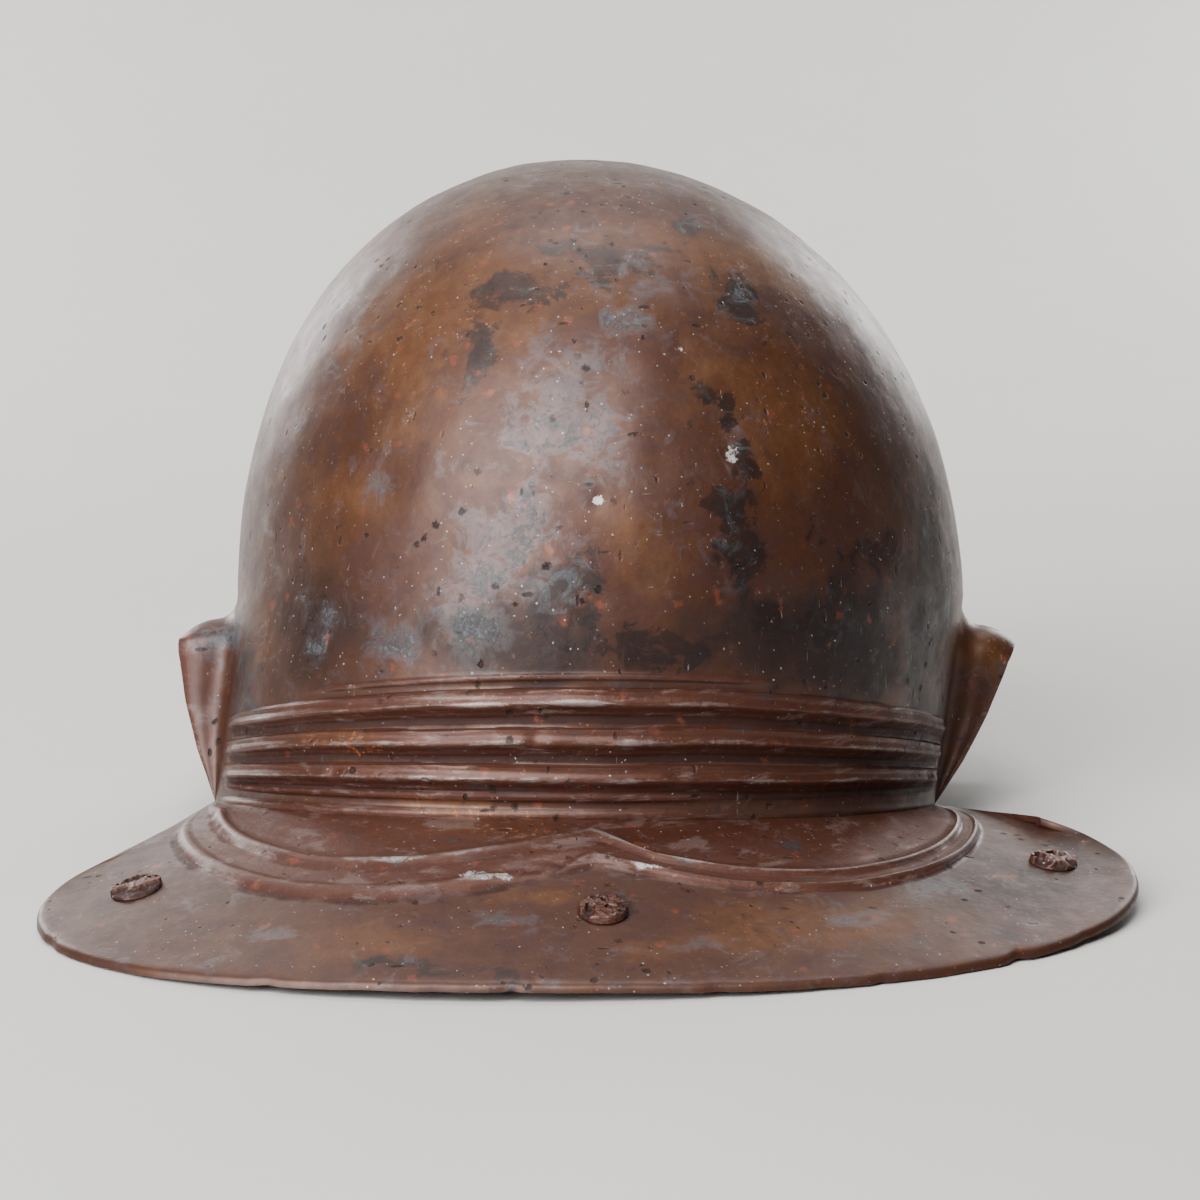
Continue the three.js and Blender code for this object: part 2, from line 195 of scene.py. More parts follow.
def dome_point(angle, share):
    """A point of the dome, a share of the way down from the crown to the widest section."""
    fall = share * math.pi / 2
    power = 2 / DOME_FULLNESS
    height = CROWN_HEIGHT * math.cos(fall) ** power if share < 1 else 0.0
    return bowl_point(angle, height, math.sin(fall) ** power)


def wall_point(angle, depth, relief=0.0):
    """A point of the bowl's wall at a depth below the widest section."""
    back = math.cos(math.radians(angle))
    taper = (BACK_TAPER if back > 0 else FRONT_TAPER) * back**2
    return bowl_point(angle, -depth, 1 - taper * (depth / NAPE_DEPTH_BACK) ** 2, relief)


def towards_ear(angle):
    return (angle / EAR_REAR) ** 2


def nape_depth(angle):
    return mix(NAPE_DEPTH_BACK, NAPE_DEPTH_SIDE, towards_ear(angle))


def rib_depth(angle, ribs):
    """The depth of a place on the nape given in ribs' pitches down from the first rib's start."""
    top = mix(RIB_TOP_BACK, RIB_TOP_SIDE, towards_ear(angle))
    return top + ribs * mix(RIB_PITCH_BACK, RIB_PITCH_SIDE, towards_ear(angle))


def root_ribs(angle):
    """The nape's root, where the neck guard starts, in the same pitches."""
    return (nape_depth(angle) - rib_depth(angle, 0)) / (rib_depth(angle, 1) - rib_depth(angle, 0))


def corner_offset(distance):
    """How far the ear opening's round corner stands in, at a distance along the edge from it."""
    if distance >= EAR_CORNER:
        return 0.0
    return EAR_CORNER - math.sqrt(EAR_CORNER**2 - (EAR_CORNER - max(distance, 0.0)) ** 2)


CORNER_DROP = EAR_CORNER * (1 - math.sqrt(0.5))


def corner_turn(depth):
    return math.degrees(corner_offset(depth - EAR_TOP) / BOWL_HALF_WIDTH)


def corner_depth(turn):
    """The depth of the ear's top row, at a turn in degrees away from the opening's corner."""
    return EAR_TOP + CORNER_DROP * (1 - smooth(turn, 0, EAR_BLEND))


# The relief of the nape and the neck guard

# A rib from its start down: place in pitches, share of its relief
RIB_SECTION = (
    (0.0, 0.0),
    (0.1, 0.66),
    (0.22, 0.6),
    (0.36, 0.86),
    (0.43, 1.0),
    (0.5, 0.88),
    (0.66, 0.2),
    (0.8, 0.0),
)
# Painted shade on a rib's underside and in the hollow below it: place in pitches, strength
RIB_HOLLOW_SHADE = ((0.44, 0.0), (0.56, 0.6), (0.74, 1.0), (0.9, 0.8), (1.04, 0.0))
# A slight fold: share of its width, share of its height
FOLD_SECTION = ((0.0, 0.0), (0.5, 1.0), (1.0, 0.0))
# The folds above the first rib and below the last: place and width in pitches, height in ribs
FOLD_ABOVE = (-0.42, 0.3, 0.24)
FOLD_BELOW = (2.74, 0.32, 0.34)
# The angles between which each fold starts and fades out
ABOVE_START = (-52, -40)
ABOVE_END = (14, 28)
BELOW_START = (-75, -66)
BELOW_END = (4, 22)
BELOW_LOSS = 0.8
# The fold at the nape's root: place in pitches from it, share of its height
ROOT_SECTION = ((-0.34, 0.0), (-0.1, 1.0), (0.0, 0.85))
ROOT_HEIGHT = 0.5
# Nicks in the ribs' crests: rib, angle, half width in degrees, share of the height lost
RIB_NICKS = (
    (1, -9.5, 1.7, 0.45),
    (0, 31.0, 2.4, 0.25),
    (2, 12.0, 1.9, 0.2),
    (1, 66.0, 2.4, 0.5),
    (2, 65.0, 2.0, 0.6),
    (2, -41.0, 1.5, 0.4),
)


def rib_wander(angle, rib):
    """How far a hammered rib strays up or down at an angle, in pitches."""
    return 0.07 * noise.noise(Vector((angle / 17, 5.3 * rib, 1.7)))


def rib_hollow_shade(angle, ribs):
    """How much painted shade lies in the hollows below the ribs."""
    found = 0.0
    for rib in range(RIB_COUNT):
        found = max(found, along_table(RIB_HOLLOW_SHADE, ribs - rib + rib_wander(angle, rib)))
    return found * smooth(EAR_REAR - abs(angle), 0, RIB_FADE)


def fold(ribs, place, width, height):
    return height * along_table(FOLD_SECTION, (ribs - place) / width)


def rib_relief(angle, ribs):
    """How proud the nape is, in shares of a rib's relief. The ribs are hammered, so they run unevenly."""
    ends = smooth(EAR_REAR - abs(angle), 0, RIB_FADE)
    proud = 0.0
    for rib in range(RIB_COUNT):
        wander = rib_wander(angle, rib)
        height = 1.0 + 0.22 * noise.noise(Vector((angle / 9, 3.1 * rib, 9.2)))
        for nicked, middle, half, loss in RIB_NICKS:
            if nicked == rib:
                height -= loss * (1 - smooth(abs(angle - middle), 0.2 * half, half))
        proud += height * along_table(RIB_SECTION, ribs - rib + wander)
    above = smooth(angle, *ABOVE_START) * (1 - smooth(angle, *ABOVE_END))
    proud += above * fold(ribs, *FOLD_ABOVE)
    below = smooth(angle, *BELOW_START) * (1 - BELOW_LOSS * smooth(angle, *BELOW_END))
    proud += below * fold(ribs, *FOLD_BELOW)
    proud += below * ROOT_HEIGHT * along_table(ROOT_SECTION, ribs - root_ribs(angle))
    return ends * proud


# Between the nape and the ridges: share of the way, height in shares of the crescents' lift
GUARD_INNER = ((0.0, 0.2), (0.13, 0.42), (0.3, 0.28), (0.6, 0.36), (1.0, 0.55))
# Across the two ridges: place in spacings out from the outer one, height
GUARD_RIDGES = (
    (-1.25, 0.55),
    (-1.06, 1.0),
    (-0.97, 0.96),
    (-0.8, 0.38),
    (-0.5, 0.46),
    (-0.16, 0.56),
    (0.0, 0.92),
    (0.1, 0.84),
    (0.32, 0.1),
    (0.52, 0.0),
)
# Painted shade on the faces and in the hollows beside the two ridges: place in spacings out from the outer
# one, strength
GUARD_HOLLOW_SHADE = (
    (-1.0, 0.0),
    (-0.86, 0.8),
    (-0.74, 0.9),
    (-0.56, 0.1),
    (-0.26, 0.0),
    (-0.18, 0.4),
    (-0.08, 0.0),
    (0.1, 0.0),
    (0.3, 0.9),
    (0.42, 0.7),
    (0.6, 0.0),
)

# The crest that has crumbled left of the cusp: angles where it starts and stops, and its start across
CRUMBLED_START = (-14, -10)
CRUMBLED_END = (-4, -1)
CRUMBLED_ACROSS = (-0.45, -0.25)


def crescent(angle):
    """(distance from the nape of the outer ridge, spacing of the two ridges) at an angle."""
    round_ = abs(angle) / EAR_REAR
    ridge = mix(CRESCENT_CUSP, CRESCENT_END, round_) + CRESCENT_BULGE * math.sin(math.pi * round_)
    side = SPACING_LEFT if angle < 0 else SPACING_RIGHT
    spacing = mix(SPACING_CUSP, side, smooth(abs(angle), 0, CUSP_ANGLE))
    return ridge, min(spacing, ridge / LEAST_SPACINGS)


def guard_relief(angle, distance):
    ridge, spacing = crescent(angle)
    start = ridge - RELIEF_START * spacing
    if distance < start:
        return along_table(GUARD_INNER, distance / start)
    worn = 1.0 + 0.2 * noise.noise(Vector((angle / 8, distance / 30, 4.4)))
    place = (distance - ridge) / spacing
    lift = along_table(GUARD_RIDGES, place)
    broken = smooth(angle, *CRUMBLED_START) * (1 - smooth(angle, *CRUMBLED_END))
    broken *= smooth(place, *CRUMBLED_ACROSS)
    crumbled = 0.4 + 0.9 * noise.noise(Vector((angle / 1.3, distance / 2.5, 8.1)))
    worn *= mix(1.0, clamp(crumbled, 0.05, 1.0), broken)
    return mix(lift, lift * worn, smooth(distance - start, 0, 2))


def guard_hollow_shade(angle, distance):
    """How much painted shade lies in the hollows beside the crescent's ridges."""
    ridge, spacing = crescent(angle)
    found = along_table(GUARD_HOLLOW_SHADE, (distance - ridge) / spacing)
    return found * clamp(0.75 + 1.1 * noise.noise(Vector((angle / 6, 3.9, 0.2))), 0.1, 1.0)


# The neck guard


def outline_point(step):
    turn = math.radians(mix(-GUARD_CORNER, GUARD_CORNER, step / OUTLINE_STEPS))
    depth = GUARD_REAR if math.cos(turn) > 0 else GUARD_FRONT
    x = GUARD_CENTRE_X + GUARD_HALF_WIDTH * math.sin(turn)
    return Vector((x, GUARD_TIP_Y - depth * math.cos(turn), 0.0))


def guard_outline():
    """The neck guard's outline as (length so far, point) rows, left to right."""
    rows = [(0.0, outline_point(0))]
    for step in range(1, OUTLINE_STEPS + 1):
        point = outline_point(step)
        rows.append((rows[-1][0] + (point - rows[-1][1]).length, point))
    return rows


OUTLINE = guard_outline()


def outline_at(share):
    target = clamp(share) * OUTLINE[-1][0]
    low, high = 0, len(OUTLINE) - 1
    while high - low > 1:
        middle = (low + high) // 2
        if OUTLINE[middle][0] <= target:
            low = middle
        else:
            high = middle
    (start, a), (end, b) = OUTLINE[low], OUTLINE[high]
    return a.lerp(b, (target - start) / (end - start))


# Small losses along the neck guard's edge: angle, half width in degrees, depth
EDGE_LOSSES = (
    (38.0, 1.6, 1.5),
    (-8.5, 1.2, 0.8),
    (24.0, 1.0, 0.6),
    (-30.0, 1.4, 0.7),
    (46.0, 1.2, 0.5),
    (-55.0, 1.5, 0.5),
    (9.0, 0.8, 0.5),
)


def edge_loss(angle):
    loss = 0.25 + 0.25 * noise.noise(Vector((angle / 2.2, 7.7, 0.0)))
    for middle, half, depth in EDGE_LOSSES:
        loss += depth * (1 - smooth(abs(angle - middle), 0, half))
    return max(loss, 0.0)


class GuardLine:
    """A line down the neck guard's upper face from the nape at an angle."""

    def __init__(self, angle):
        self.angle = angle
        self.root = wall_point(angle, nape_depth(angle))
        out = outline_at((angle / EAR_REAR + 1) / 2) - self.root
        out.z = 0
        side = SLOPE_LEFT if angle < 0 else SLOPE_RIGHT
        self.length = out.length
        self.out = out.normalized()
        self.fall = math.tan(math.radians(mix(SLOPE_BACK, side, towards_ear(angle))))

    def point(self, distance):
        place = self.root + self.out * distance
        place.z -= self.fall * distance
        return place


# Rows of the neck guard: parts of its length, each with a number of rows
GUARD_INNER_ROWS = 9
GUARD_RIDGE_ROWS = 22
GUARD_OUTER_ROWS = 18
# Rows at its edge, as distances in from it, drop of the upper face and thickness
GUARD_EDGE = (
    (2.6, 0.0, 1.6),
    (1.7, 0.02, 2.3),
    (0.9, 0.12, 2.2),
    (0.35, 0.38, 1.85),
    (0.0, 0.95, 1.0),
)


def guard_distances(line):
    """(distance from the nape, drop at the edge, thickness) for each row after the first."""
    ridge, spacing = crescent(line.angle)
    start = ridge - RELIEF_START * spacing
    end = ridge + RELIEF_END * spacing
    rim = line.length - edge_loss(line.angle)
    band = rim - GUARD_EDGE[0][0]
    rows = [start * (i + 1) / GUARD_INNER_ROWS for i in range(GUARD_INNER_ROWS)]
    rows += [mix(start, end, (i + 1) / GUARD_RIDGE_ROWS) for i in range(GUARD_RIDGE_ROWS)]
    rows += [mix(end, band, (i + 1) / GUARD_OUTER_ROWS) for i in range(GUARD_OUTER_ROWS - 1)]
    plain = [(distance, 0.0, SHEET_WALL) for distance in rows]
    return plain + [(rim - inset, drop, wall) for inset, drop, wall in GUARD_EDGE]


# The three riveted bosses

# Name, solid, angle and distance from the nape on the neck guard, radius
BOSSES = (
    ("left_boss", "boss_left", -54.6, 45.3, 6.4),
    ("centre_boss", "boss_centre", 0.2, 36.2, 6.0),
    ("right_boss", "boss_right", 57.4, 47.2, 6.0),
)
BOSS_HEIGHT = 1.7
BOSS_GAP = 0.12
SHANK_RADIUS = 2.0
TAIL_RADIUS = 3.6
TAIL_HEIGHT = 1.0
# Between the neck guard's lower face and the tail
TAIL_GAP = 0.3
BOSS_SIDES = 96
BOSS_FACE_ROWS = 22
# The shares of the radius at a boss's lower edge and at its face's edge
BOSS_LIP = 1.02
BOSS_FACE = 0.9
# The hammered tail: share of its radius, share of its height down
TAIL_SIDE = ((0.0, 1.0), (0.6, 1.0), (0.9, 0.75), (1.0, 0.4), (0.96, 0.0))
# Worn faces and outlines: the least height left, how ragged, and the strengths of the crests' wear and
# painted highlight, of the painted shade in the marks' hollows, of bare metal and of the dark patina
BOSS_LEAST = 0.25
BOSS_RAGGED = 0.13
BOSS_WEAR_AND_SHEEN = 0.3
BOSS_HOLLOW_SHADE = 1.3
BOSS_BARE = 0.35
BOSS_DARK = 0.4
# A boss's fine relief: height, size, octaves
BOSS_GRAIN = ((0.22, 1.9, 3), (0.16, 0.9, 2))
# How far the outlines of a boss's marks stray, and over what distance they do
BOSS_STRAY = 0.9
BOSS_STRAY_SIZE = 1.9
# The shares of a mark's radius between which it fades out
MARK_FADE = (0.45, 1.15)
# The sheet is even near a boss, and as uneven as elsewhere further out
BOSS_CALM = (8, 20)
# The side of a boss: share of its radius, share of its height
BOSS_SIDE = ((1.03, 0.08), (1.02, 0.2), (1.0, 0.4), (0.985, 0.62), (0.965, 0.82), (0.93, 0.95))
# Lumps and hollows on a boss's face: across, towards the nape, radius, height
BOSS_MARKS = {
    "left_boss": (
        (-3.5, 2.9, 1.5, -1.5),
        (-1.8, 3.7, 1.7, -1.8),
        (0.2, 4.1, 1.7, -1.8),
        (2.0, 4.3, 1.3, -1.4),
        (4.7, 2.4, 1.1, -1.3),
        (-4.2, -2.8, 3.2, -0.9),
        (0.5, -5.2, 3.4, -0.9),
        (4.4, -3.2, 3.0, -0.8),
    ),
    "centre_boss": (
        (-3.2, -0.6, 1.5, -1.6),
        (-2.9, -1.3, 0.7, 1.2),
        (0.4, 2.8, 0.7, -0.9),
        (1.3, -0.4, 0.7, -0.9),
        (-3.2, 3.6, 1.1, 0.4),
        (2.6, 3.4, 1.1, 0.4),
        (-4.2, -3.4, 2.0, -0.9),
        (4.8, 0.4, 1.2, -0.5),
    ),
    "right_boss": (
        (-4.1, 0.8, 1.9, -1.5),
        (-3.4, -3.8, 2.4, -1.2),
        (0.4, 3.0, 1.5, -1.2),
        (2.2, 2.2, 1.3, -1.3),
        (1.2, 1.6, 0.8, 1.1),
        (4.4, -2.6, 1.9, -1.7),
        (0.8, -5.0, 2.0, -0.9),
        (-1.0, -2.0, 1.2, 0.3),
    ),
}


def boss_frame(angle, distance):
    """Where a boss stands: its place on the neck guard, square to the sheet there."""
    line = GuardLine(angle)
    place = line.point(distance)
    further = line.point(distance + 1) - place
    beside = GuardLine(angle + 1).point(distance) - place
    normal = -beside.cross(further).normalized()
    turn = Vector((0, 0, 1)).rotation_difference(normal)
    return Matrix.Translation(place) @ turn.to_matrix().to_4x4()


BOSS_PLACES = [boss_frame(angle, distance) for _, _, angle, distance, _ in BOSSES]


# The sheet, built from patches

# The numbers that a spot hands to its vertex
SPOT_NUMBERS = ("wall", "down", "flat", "worn", "hollow_shade")


class Spot:
    """A place on the plain sheet, with the shift of its relief, its thickness, the wear and painted highlight
    of its crests, and the painted shade of its hollows.

    Where down is 1 the sheet's thickness goes straight down, and where flat is 1 the sheet's unevenness
    stays level, so that its rim stays in its plane.
    """

    __slots__ = ("place", "shift") + SPOT_NUMBERS

    def __init__(self, place, shift=None, wall=SHEET_WALL, down=0.0, flat=0.0, worn=0.0, hollow_shade=0.0):
        self.place = place
        self.shift = shift or Vector()
        self.wall = wall
        self.down = down
        self.flat = flat
        self.worn = worn
        self.hollow_shade = hollow_shade


# The crests' wear and painted highlight are weaker at the sides: the share left there, and the angles between
# which it falls
NAPE_WEAR_AND_SHEEN = (0.8, 48, 70)
GUARD_WEAR_AND_SHEEN = (0.75, 30, 62)


def side_wear_and_sheen(angle, left, start, end):
    return mix(1.0, left, smooth(abs(angle), start, end))


def dome_spots(angle):
    return [Spot(dome_point(angle, (row / DOME_ROWS) ** DOME_CROWDING)) for row in range(DOME_ROWS + 1)]


def nape_spots(share, sizes):
    """The wall from the ear's top to the neck guard, at a share of the way across from left to right."""
    round_ = 2 * share - 1
    angle = round_ * EAR_REAR
    top = EAR_TOP + CORNER_DROP
    spots = []
    start_side = rib_depth(EAR_REAR, -0.5)
    start = rib_depth(angle, -0.5)
    for row in range(PLAIN_ROWS):
        down = row / PLAIN_ROWS
        side_depth = mix(top, start_side, down)
        turned = round_ * (EAR_REAR + corner_turn(side_depth))
        depth = mix(corner_depth(EAR_REAR - abs(angle)), start, down)
        spots.append(Spot(wall_point(turned, depth)))
    rows = (RIB_COUNT + 1) * RIB_ROWS + BASE_ROWS
    root = root_ribs(angle)
    for row in range(rows + 1):
        ribs = mix(-0.5, root, row / rows)
        proud = rib_relief(angle, ribs)
        depth = rib_depth(angle, ribs)
        place = wall_point(angle, depth)
        shift = wall_point(angle, depth, sizes.rib_relief / MM * proud) - place
        # Crest wear and painted highlight follow the ribs' relief
        worn = proud * side_wear_and_sheen(angle, *NAPE_WEAR_AND_SHEEN)
        spots.append(Spot(place, shift, worn=worn, hollow_shade=rib_hollow_shade(angle, ribs)))
    return spots


def back_spots(share, sizes):
    angle = (2 * share - 1) * EAR_REAR
    spots = dome_spots(angle) + nape_spots(share, sizes)
    line = GuardLine(angle)
    fade = smooth(EAR_REAR - abs(angle), 0, CRESCENT_FADE)
    for distance, drop, wall in guard_distances(line):
        relief = guard_relief(angle, distance) * fade
        shift = Vector((0, 0, sizes.crescent_lift / MM * relief - drop))
        hollow_shade = guard_hollow_shade(angle, distance) * fade
        # Crest wear and painted highlight follow the ridges' relief
        worn = relief * side_wear_and_sheen(angle, *GUARD_WEAR_AND_SHEEN)
        spots.append(Spot(line.point(distance), shift, wall, down=1.0, worn=worn, hollow_shade=hollow_shade))
    return spots


def brow_spots(share):
    """The wall from the ear's top to the brow rim, at a share of the way round the front."""
    round_ = 2 * share - 1
    angle = 180 + round_ * (180 - EAR_FRONT)
    top = EAR_TOP + CORNER_DROP
    spots = []
    for row in range(BROW_ROWS + 1):
        down = row / BROW_ROWS
        turned = 180 + round_ * (180 - EAR_FRONT + corner_turn(mix(top, BROW_DEPTH, down)))
        start = corner_depth(180 - EAR_FRONT - abs(180 - angle))
        spots.append(Spot(wall_point(turned, mix(start, BROW_DEPTH, down)), flat=float(row == BROW_ROWS)))
    return spots


def front_spots(share):
    return dome_spots(180 + (2 * share - 1) * (180 - EAR_FRONT)) + brow_spots(share)


def ear_spots(share, side):
    """The dome above an ear opening, down to the opening's upper edge."""
    angle = mix(EAR_REAR, EAR_FRONT, share)
    inset = math.degrees(CORNER_DROP / BOWL_HALF_WIDTH)
    turned = mix(EAR_REAR + inset, EAR_FRONT - inset, share)
    nearest = min(turned - EAR_REAR, EAR_FRONT - turned)
    depth = EAR_TOP + corner_offset(math.radians(nearest) * BOWL_HALF_WIDTH)
    return dome_spots(side * angle) + [Spot(wall_point(side * turned, depth))]


def flange_width(along):
    for (start, low), (end, high) in zip(FLANGE_WIDTHS, FLANGE_WIDTHS[1:]):
        if along <= end:
            return FLANGE_WIDTH * mix(low, high, (along - start) / (end - start))
    return FLANGE_WIDTH * FLANGE_WIDTHS[-1][1]


def flange_path(back, front, side):
    """The opening's edge: up its rear side, over the ear and down its front side."""
    nape = slice(DOME_ROWS + 1, DOME_ROWS + 1 + NAPE_ROWS)
    rear = back[0 if side < 0 else -1][nape]
    brow = front[-1 if side < 0 else 0][DOME_ROWS + 1 :]
    over = [ear_spots(i / EAR_COLUMNS, side)[-1] for i in range(1, EAR_COLUMNS)]
    return [spot.place for spot in rear[::-1] + over + brow]


def flange_spots(path, side):
    """Columns of the flange, one at each point of its path, from the wall out to its rim."""
    lengths = [0.0]
    for before, after in zip(path, path[1:]):
        lengths.append(lengths[-1] + (after - before).length)
    columns = []
    for i, start in enumerate(path):
        along = (path[min(i + 1, len(path) - 1)] - path[max(i - 1, 0)]).normalized()
        outward = Vector((start.x / BOWL_HALF_WIDTH**2, start.y / BOWL_BACK**2, 0)).normalized()
        outward = (outward - along * outward.dot(along)).normalized()
        onward = along.cross(outward) * side
        width = flange_width(lengths[i] / lengths[-1])
        fillet = min(FLANGE_FILLET, width / 2)
        bend = FLANGE_RISE / FILLET_ROWS
        steps = [(bend, fillet * math.radians(bend))] * FILLET_ROWS
        outer_rows = FLANGE_ROWS - FILLET_ROWS
        steps += [(-FLANGE_CURL / outer_rows, (width - fillet) / outer_rows)] * outer_rows
        column = [Spot(start)]
        turn = 0.0
        for row, (bend, length) in enumerate(steps):
            way = math.radians(turn + bend / 2)
            turn += bend
            place = column[-1].place + onward * length * math.cos(way) + outward * length * math.sin(way)
            # The flange's rim rows take wear and a painted highlight
            rim = smooth(row, FLANGE_ROWS - RIM_ROWS, FLANGE_ROWS)
            column.append(Spot(place, flat=float(i == len(path) - 1), worn=rim))
        columns.append(column)
    return columns


def add_patch(bm, columns, layers):
    """A grid of faces laid over columns of spots that run left to right, with rows that run down."""
    across, down = len(columns) - 1, len(columns[0]) - 1
    made = bmesh.ops.create_grid(bm, x_segments=across, y_segments=down, size=1.0)
    for vert in made["verts"]:
        i = round((vert.co.x + 1) / 2 * across)
        j = round((1 - vert.co.y) / 2 * down)
        spot = columns[i][j]
        vert.co = spot.place
        vert[layers["shift"]] = spot.shift
        for name in SPOT_NUMBERS:
            vert[layers[name]] = getattr(spot, name)


# The neck guard's unevenness, as a share of the bowl's
GUARD_CALM = 0.45
# Dents in the old sheet: angle, height, how wide, how deep. The rest of its unevenness is noise.
DENTS = (
    (96.0, 92.0, 9.0, 1.1),
    (-74.0, 88.0, 10.0, 0.6),
    (-37.0, 22.0, 13.0, 0.7),
    (12.0, 34.0, 16.0, 0.6),
    (158.0, 62.0, 18.0, 1.3),
    (-128.0, 40.0, 14.0, 0.9),
)


def surface_point(angle, height):
    """A place on the bowl given by its angle and height."""
    if height <= 0:
        return wall_point(angle, -height)
    power = 2 / DOME_FULLNESS
    share = math.acos((height / CROWN_HEIGHT) ** (1 / power)) / (math.pi / 2)
    return dome_point(angle, share)


# The sheet's broad waves and shallow corrosion: height, size
WAVES = ((0.42, 34), (0.16, 10))
SLATE_WAVE = (0.14, 5.5)
CHIP_DEPTH = 0.5
DENT_PLACES = [(surface_point(angle, height), wide, deep) for angle, height, wide, deep in DENTS]


def unevenness(place):
    """How far the sheet stands in or out at a place: dents, broad waves and shallow corrosion."""
    stand = sum(height * grain(place, size, 2) for height, size in WAVES)
    for centre, wide, deep in DENT_PLACES:
        stand -= deep * math.exp(-((place - centre).length_squared) / (0.5 * wide * wide))
    return stand


# Patches of the patina on the bowl and nape, and of painted shade low on the bowl and on its right, by kind:
# angle, height, half width, half height, strength
PATCHES = {
    "rust": (
        (-34, 72, 34, 40, 0.9),
        (22, 84, 40, 22, 0.9),
        (26, 42, 26, 34, 0.75),
        (-48, 14, 20, 26, 0.7),
        (3, 0, 16, 26, 0.5),
        (76, -8, 10, 14, 1.2),
        (-76, -2, 10, 6, 1.2),
        (-22, -61, 22, 3.5, 0.9),
        (-40, -45, 20, 5, 0.7),
        (-62, -16, 10, 12, 0.8),
        (96, 50, 40, 40, 0.8),
        (-110, 70, 44, 34, 0.8),
        (176, 44, 46, 34, 0.8),
    ),
    # Painted shade: broad soft darkening low on the bowl and on its right, with less wax and metal
    "painted_shade": (
        (35, -18, 50, 20, 1.2),
        (-14, -20, 46, 12, 1.1),
        (-50, -12, 32, 22, 0.75),
        (58, 2, 24, 40, 0.9),
        (46, 40, 26, 30, 0.4),
        (60, -40, 24, 22, 0.8),
        (150, -10, 60, 20, 0.8),
    ),
    "dark": (
        (-19, 72, 17, 8, 1),
        (-23, 54, 6, 16, 0.85),
        (2, 81, 15, 10, 1),
        (-10, 85, 8, 4, 0.8),
        (24, 74, 9, 11, 1),
        (32, 64, 5, 5, 0.8),
        (19, 93, 11, 5, 0.6),
        (13, 44, 5, 4, 1),
        (16, 40, 4, 8, 1),
        (18, 27, 4, 8, 1),
        (14, 16, 10, 7, 1),
        (16, 2, 8, 11, 1),
        (35, -17, 24, 13, 1.2),
        (52, -8, 20, 22, 1),
        (56, 8, 14, 24, 0.7),
        (-7, -10, 13, 16, 0.9),
        (4, -22, 20, 8, 0.9),
        (-54, 4, 7, 8, 0.5),
        (-48, -14, 12, 9, 0.7),
        (50, -8, 34, 26, 0.9),
        (-66, -30, 14, 22, 0.7),
        (66, -36, 18, 24, 0.7),
        (150, 10, 34, 20, 0.8),
        (-160, 90, 26, 20, 0.8),
        (-98, 20, 22, 18, 0.7),
    ),
    "slate": (
        (-48, -14, 9, 9, 0.9),
        (-33, -19, 13, 9, 1),
        (-76, -13, 7, 8, 1.4),
        (-21, -16, 16, 12, 1),
        (1, 64, 8, 4, 1.1),
        (24, 76, 7, 9, 0.75),
        (17, 30, 4, 10, 0.6),
        (-38, 22, 5, 8, 0.85),
        (-9, 38, 17, 28, 0.66),
        (-16, 4, 22, 18, 0.6),
        (8, 76, 18, 14, 0.5),
        (128, 30, 26, 22, 0.8),
        (-150, 60, 22, 18, 0.8),
    ),
    "chip": (
        (-4, 16, 2.7, 1.8, 1),
        (72.5, -45, 1.8, 7, 0.8),
        (15.5, 28.5, 4.2, 3.6, 0.85),
        (10, 57, 2.2, 2, 0.6),
        (104, 60, 3, 3, 0.9),
    ),
}
# The same on the neck guard: angle, distance from the nape, half width, half depth, strength
GUARD_PATCHES = {
    "bare": (
        (-13, 25, 15, 3.4, 1),
        (-4, 19, 6, 4, 0.6),
        (7, 21, 12, 2.8, 1),
        (-26, 21, 12, 2.6, 0.7),
        (62, 21, 10, 3, 0.5),
    ),
    "rust": (
        (-6, 31, 14, 4, 0.9),
        (18, 46, 40, 18, 0.8),
        (-24, 50, 26, 14, 0.6),
        (-14, 6, 30, 5, 0.7),
    ),
    "slate": (
        (-33, 52, 12, 4, 0.8),
        (-10, 40, 11, 4, 0.7),
        (9, 50, 11, 4, 0.8),
        (27, 46, 12, 4, 0.8),
        (-22, 33, 14, 3, 0.7),
        (40, 40, 10, 5, 0.6),
    ),
    # Painted shade over the right of the neck guard and along the nape's root
    "painted_shade": (
        (48, 42, 50, 32, 0.5),
        (-6, 10, 40, 9, 0.4),
        (70, 56, 26, 26, 0.6),
    ),
    "dark": (
        (0.2, 36.2, 9, 8, 0.8),
        (-54.6, 45.3, 8, 7, 0.6),
        (57.4, 47.2, 8, 7, 0.6),
        (30, 60, 30, 6, 0.6),
        (-16, 58, 24, 6, 0.6),
    ),
}
KINDS = ("rust", "dark", "painted_shade", "slate", "chip", "bare")
# The shares of a patch's size between which it fades out, and beyond which it is gone
PATCH_FADE = (0.15, 1.3)
PATCH_REACH = 2.2
# How ragged their edges are: share of a patch's size, size of the noise, octaves
PATCH_RAGGED = ((0.5, 13, 3), (0.15, 4, 2))


class Patch:
    """A patch of the patina or of painted shade, as a flat ellipse laid on the bowl."""

    def __init__(self, kind, strength, places, half_width, half_height):
        self.kind = kind
        self.strength = strength
        self.centre, beside, below = places
        self.across = (beside - self.centre).normalized() / half_width
        self.down = (below - self.centre).normalized() / half_height
        self.reach = max(half_width, half_height) * PATCH_REACH

    def at(self, place, ragged):
        offset = place - self.centre
        if offset.length > self.reach:
            return 0.0
        distance = math.hypot(offset.dot(self.across), offset.dot(self.down))
        return self.strength * (1 - smooth(distance + ragged, *PATCH_FADE))


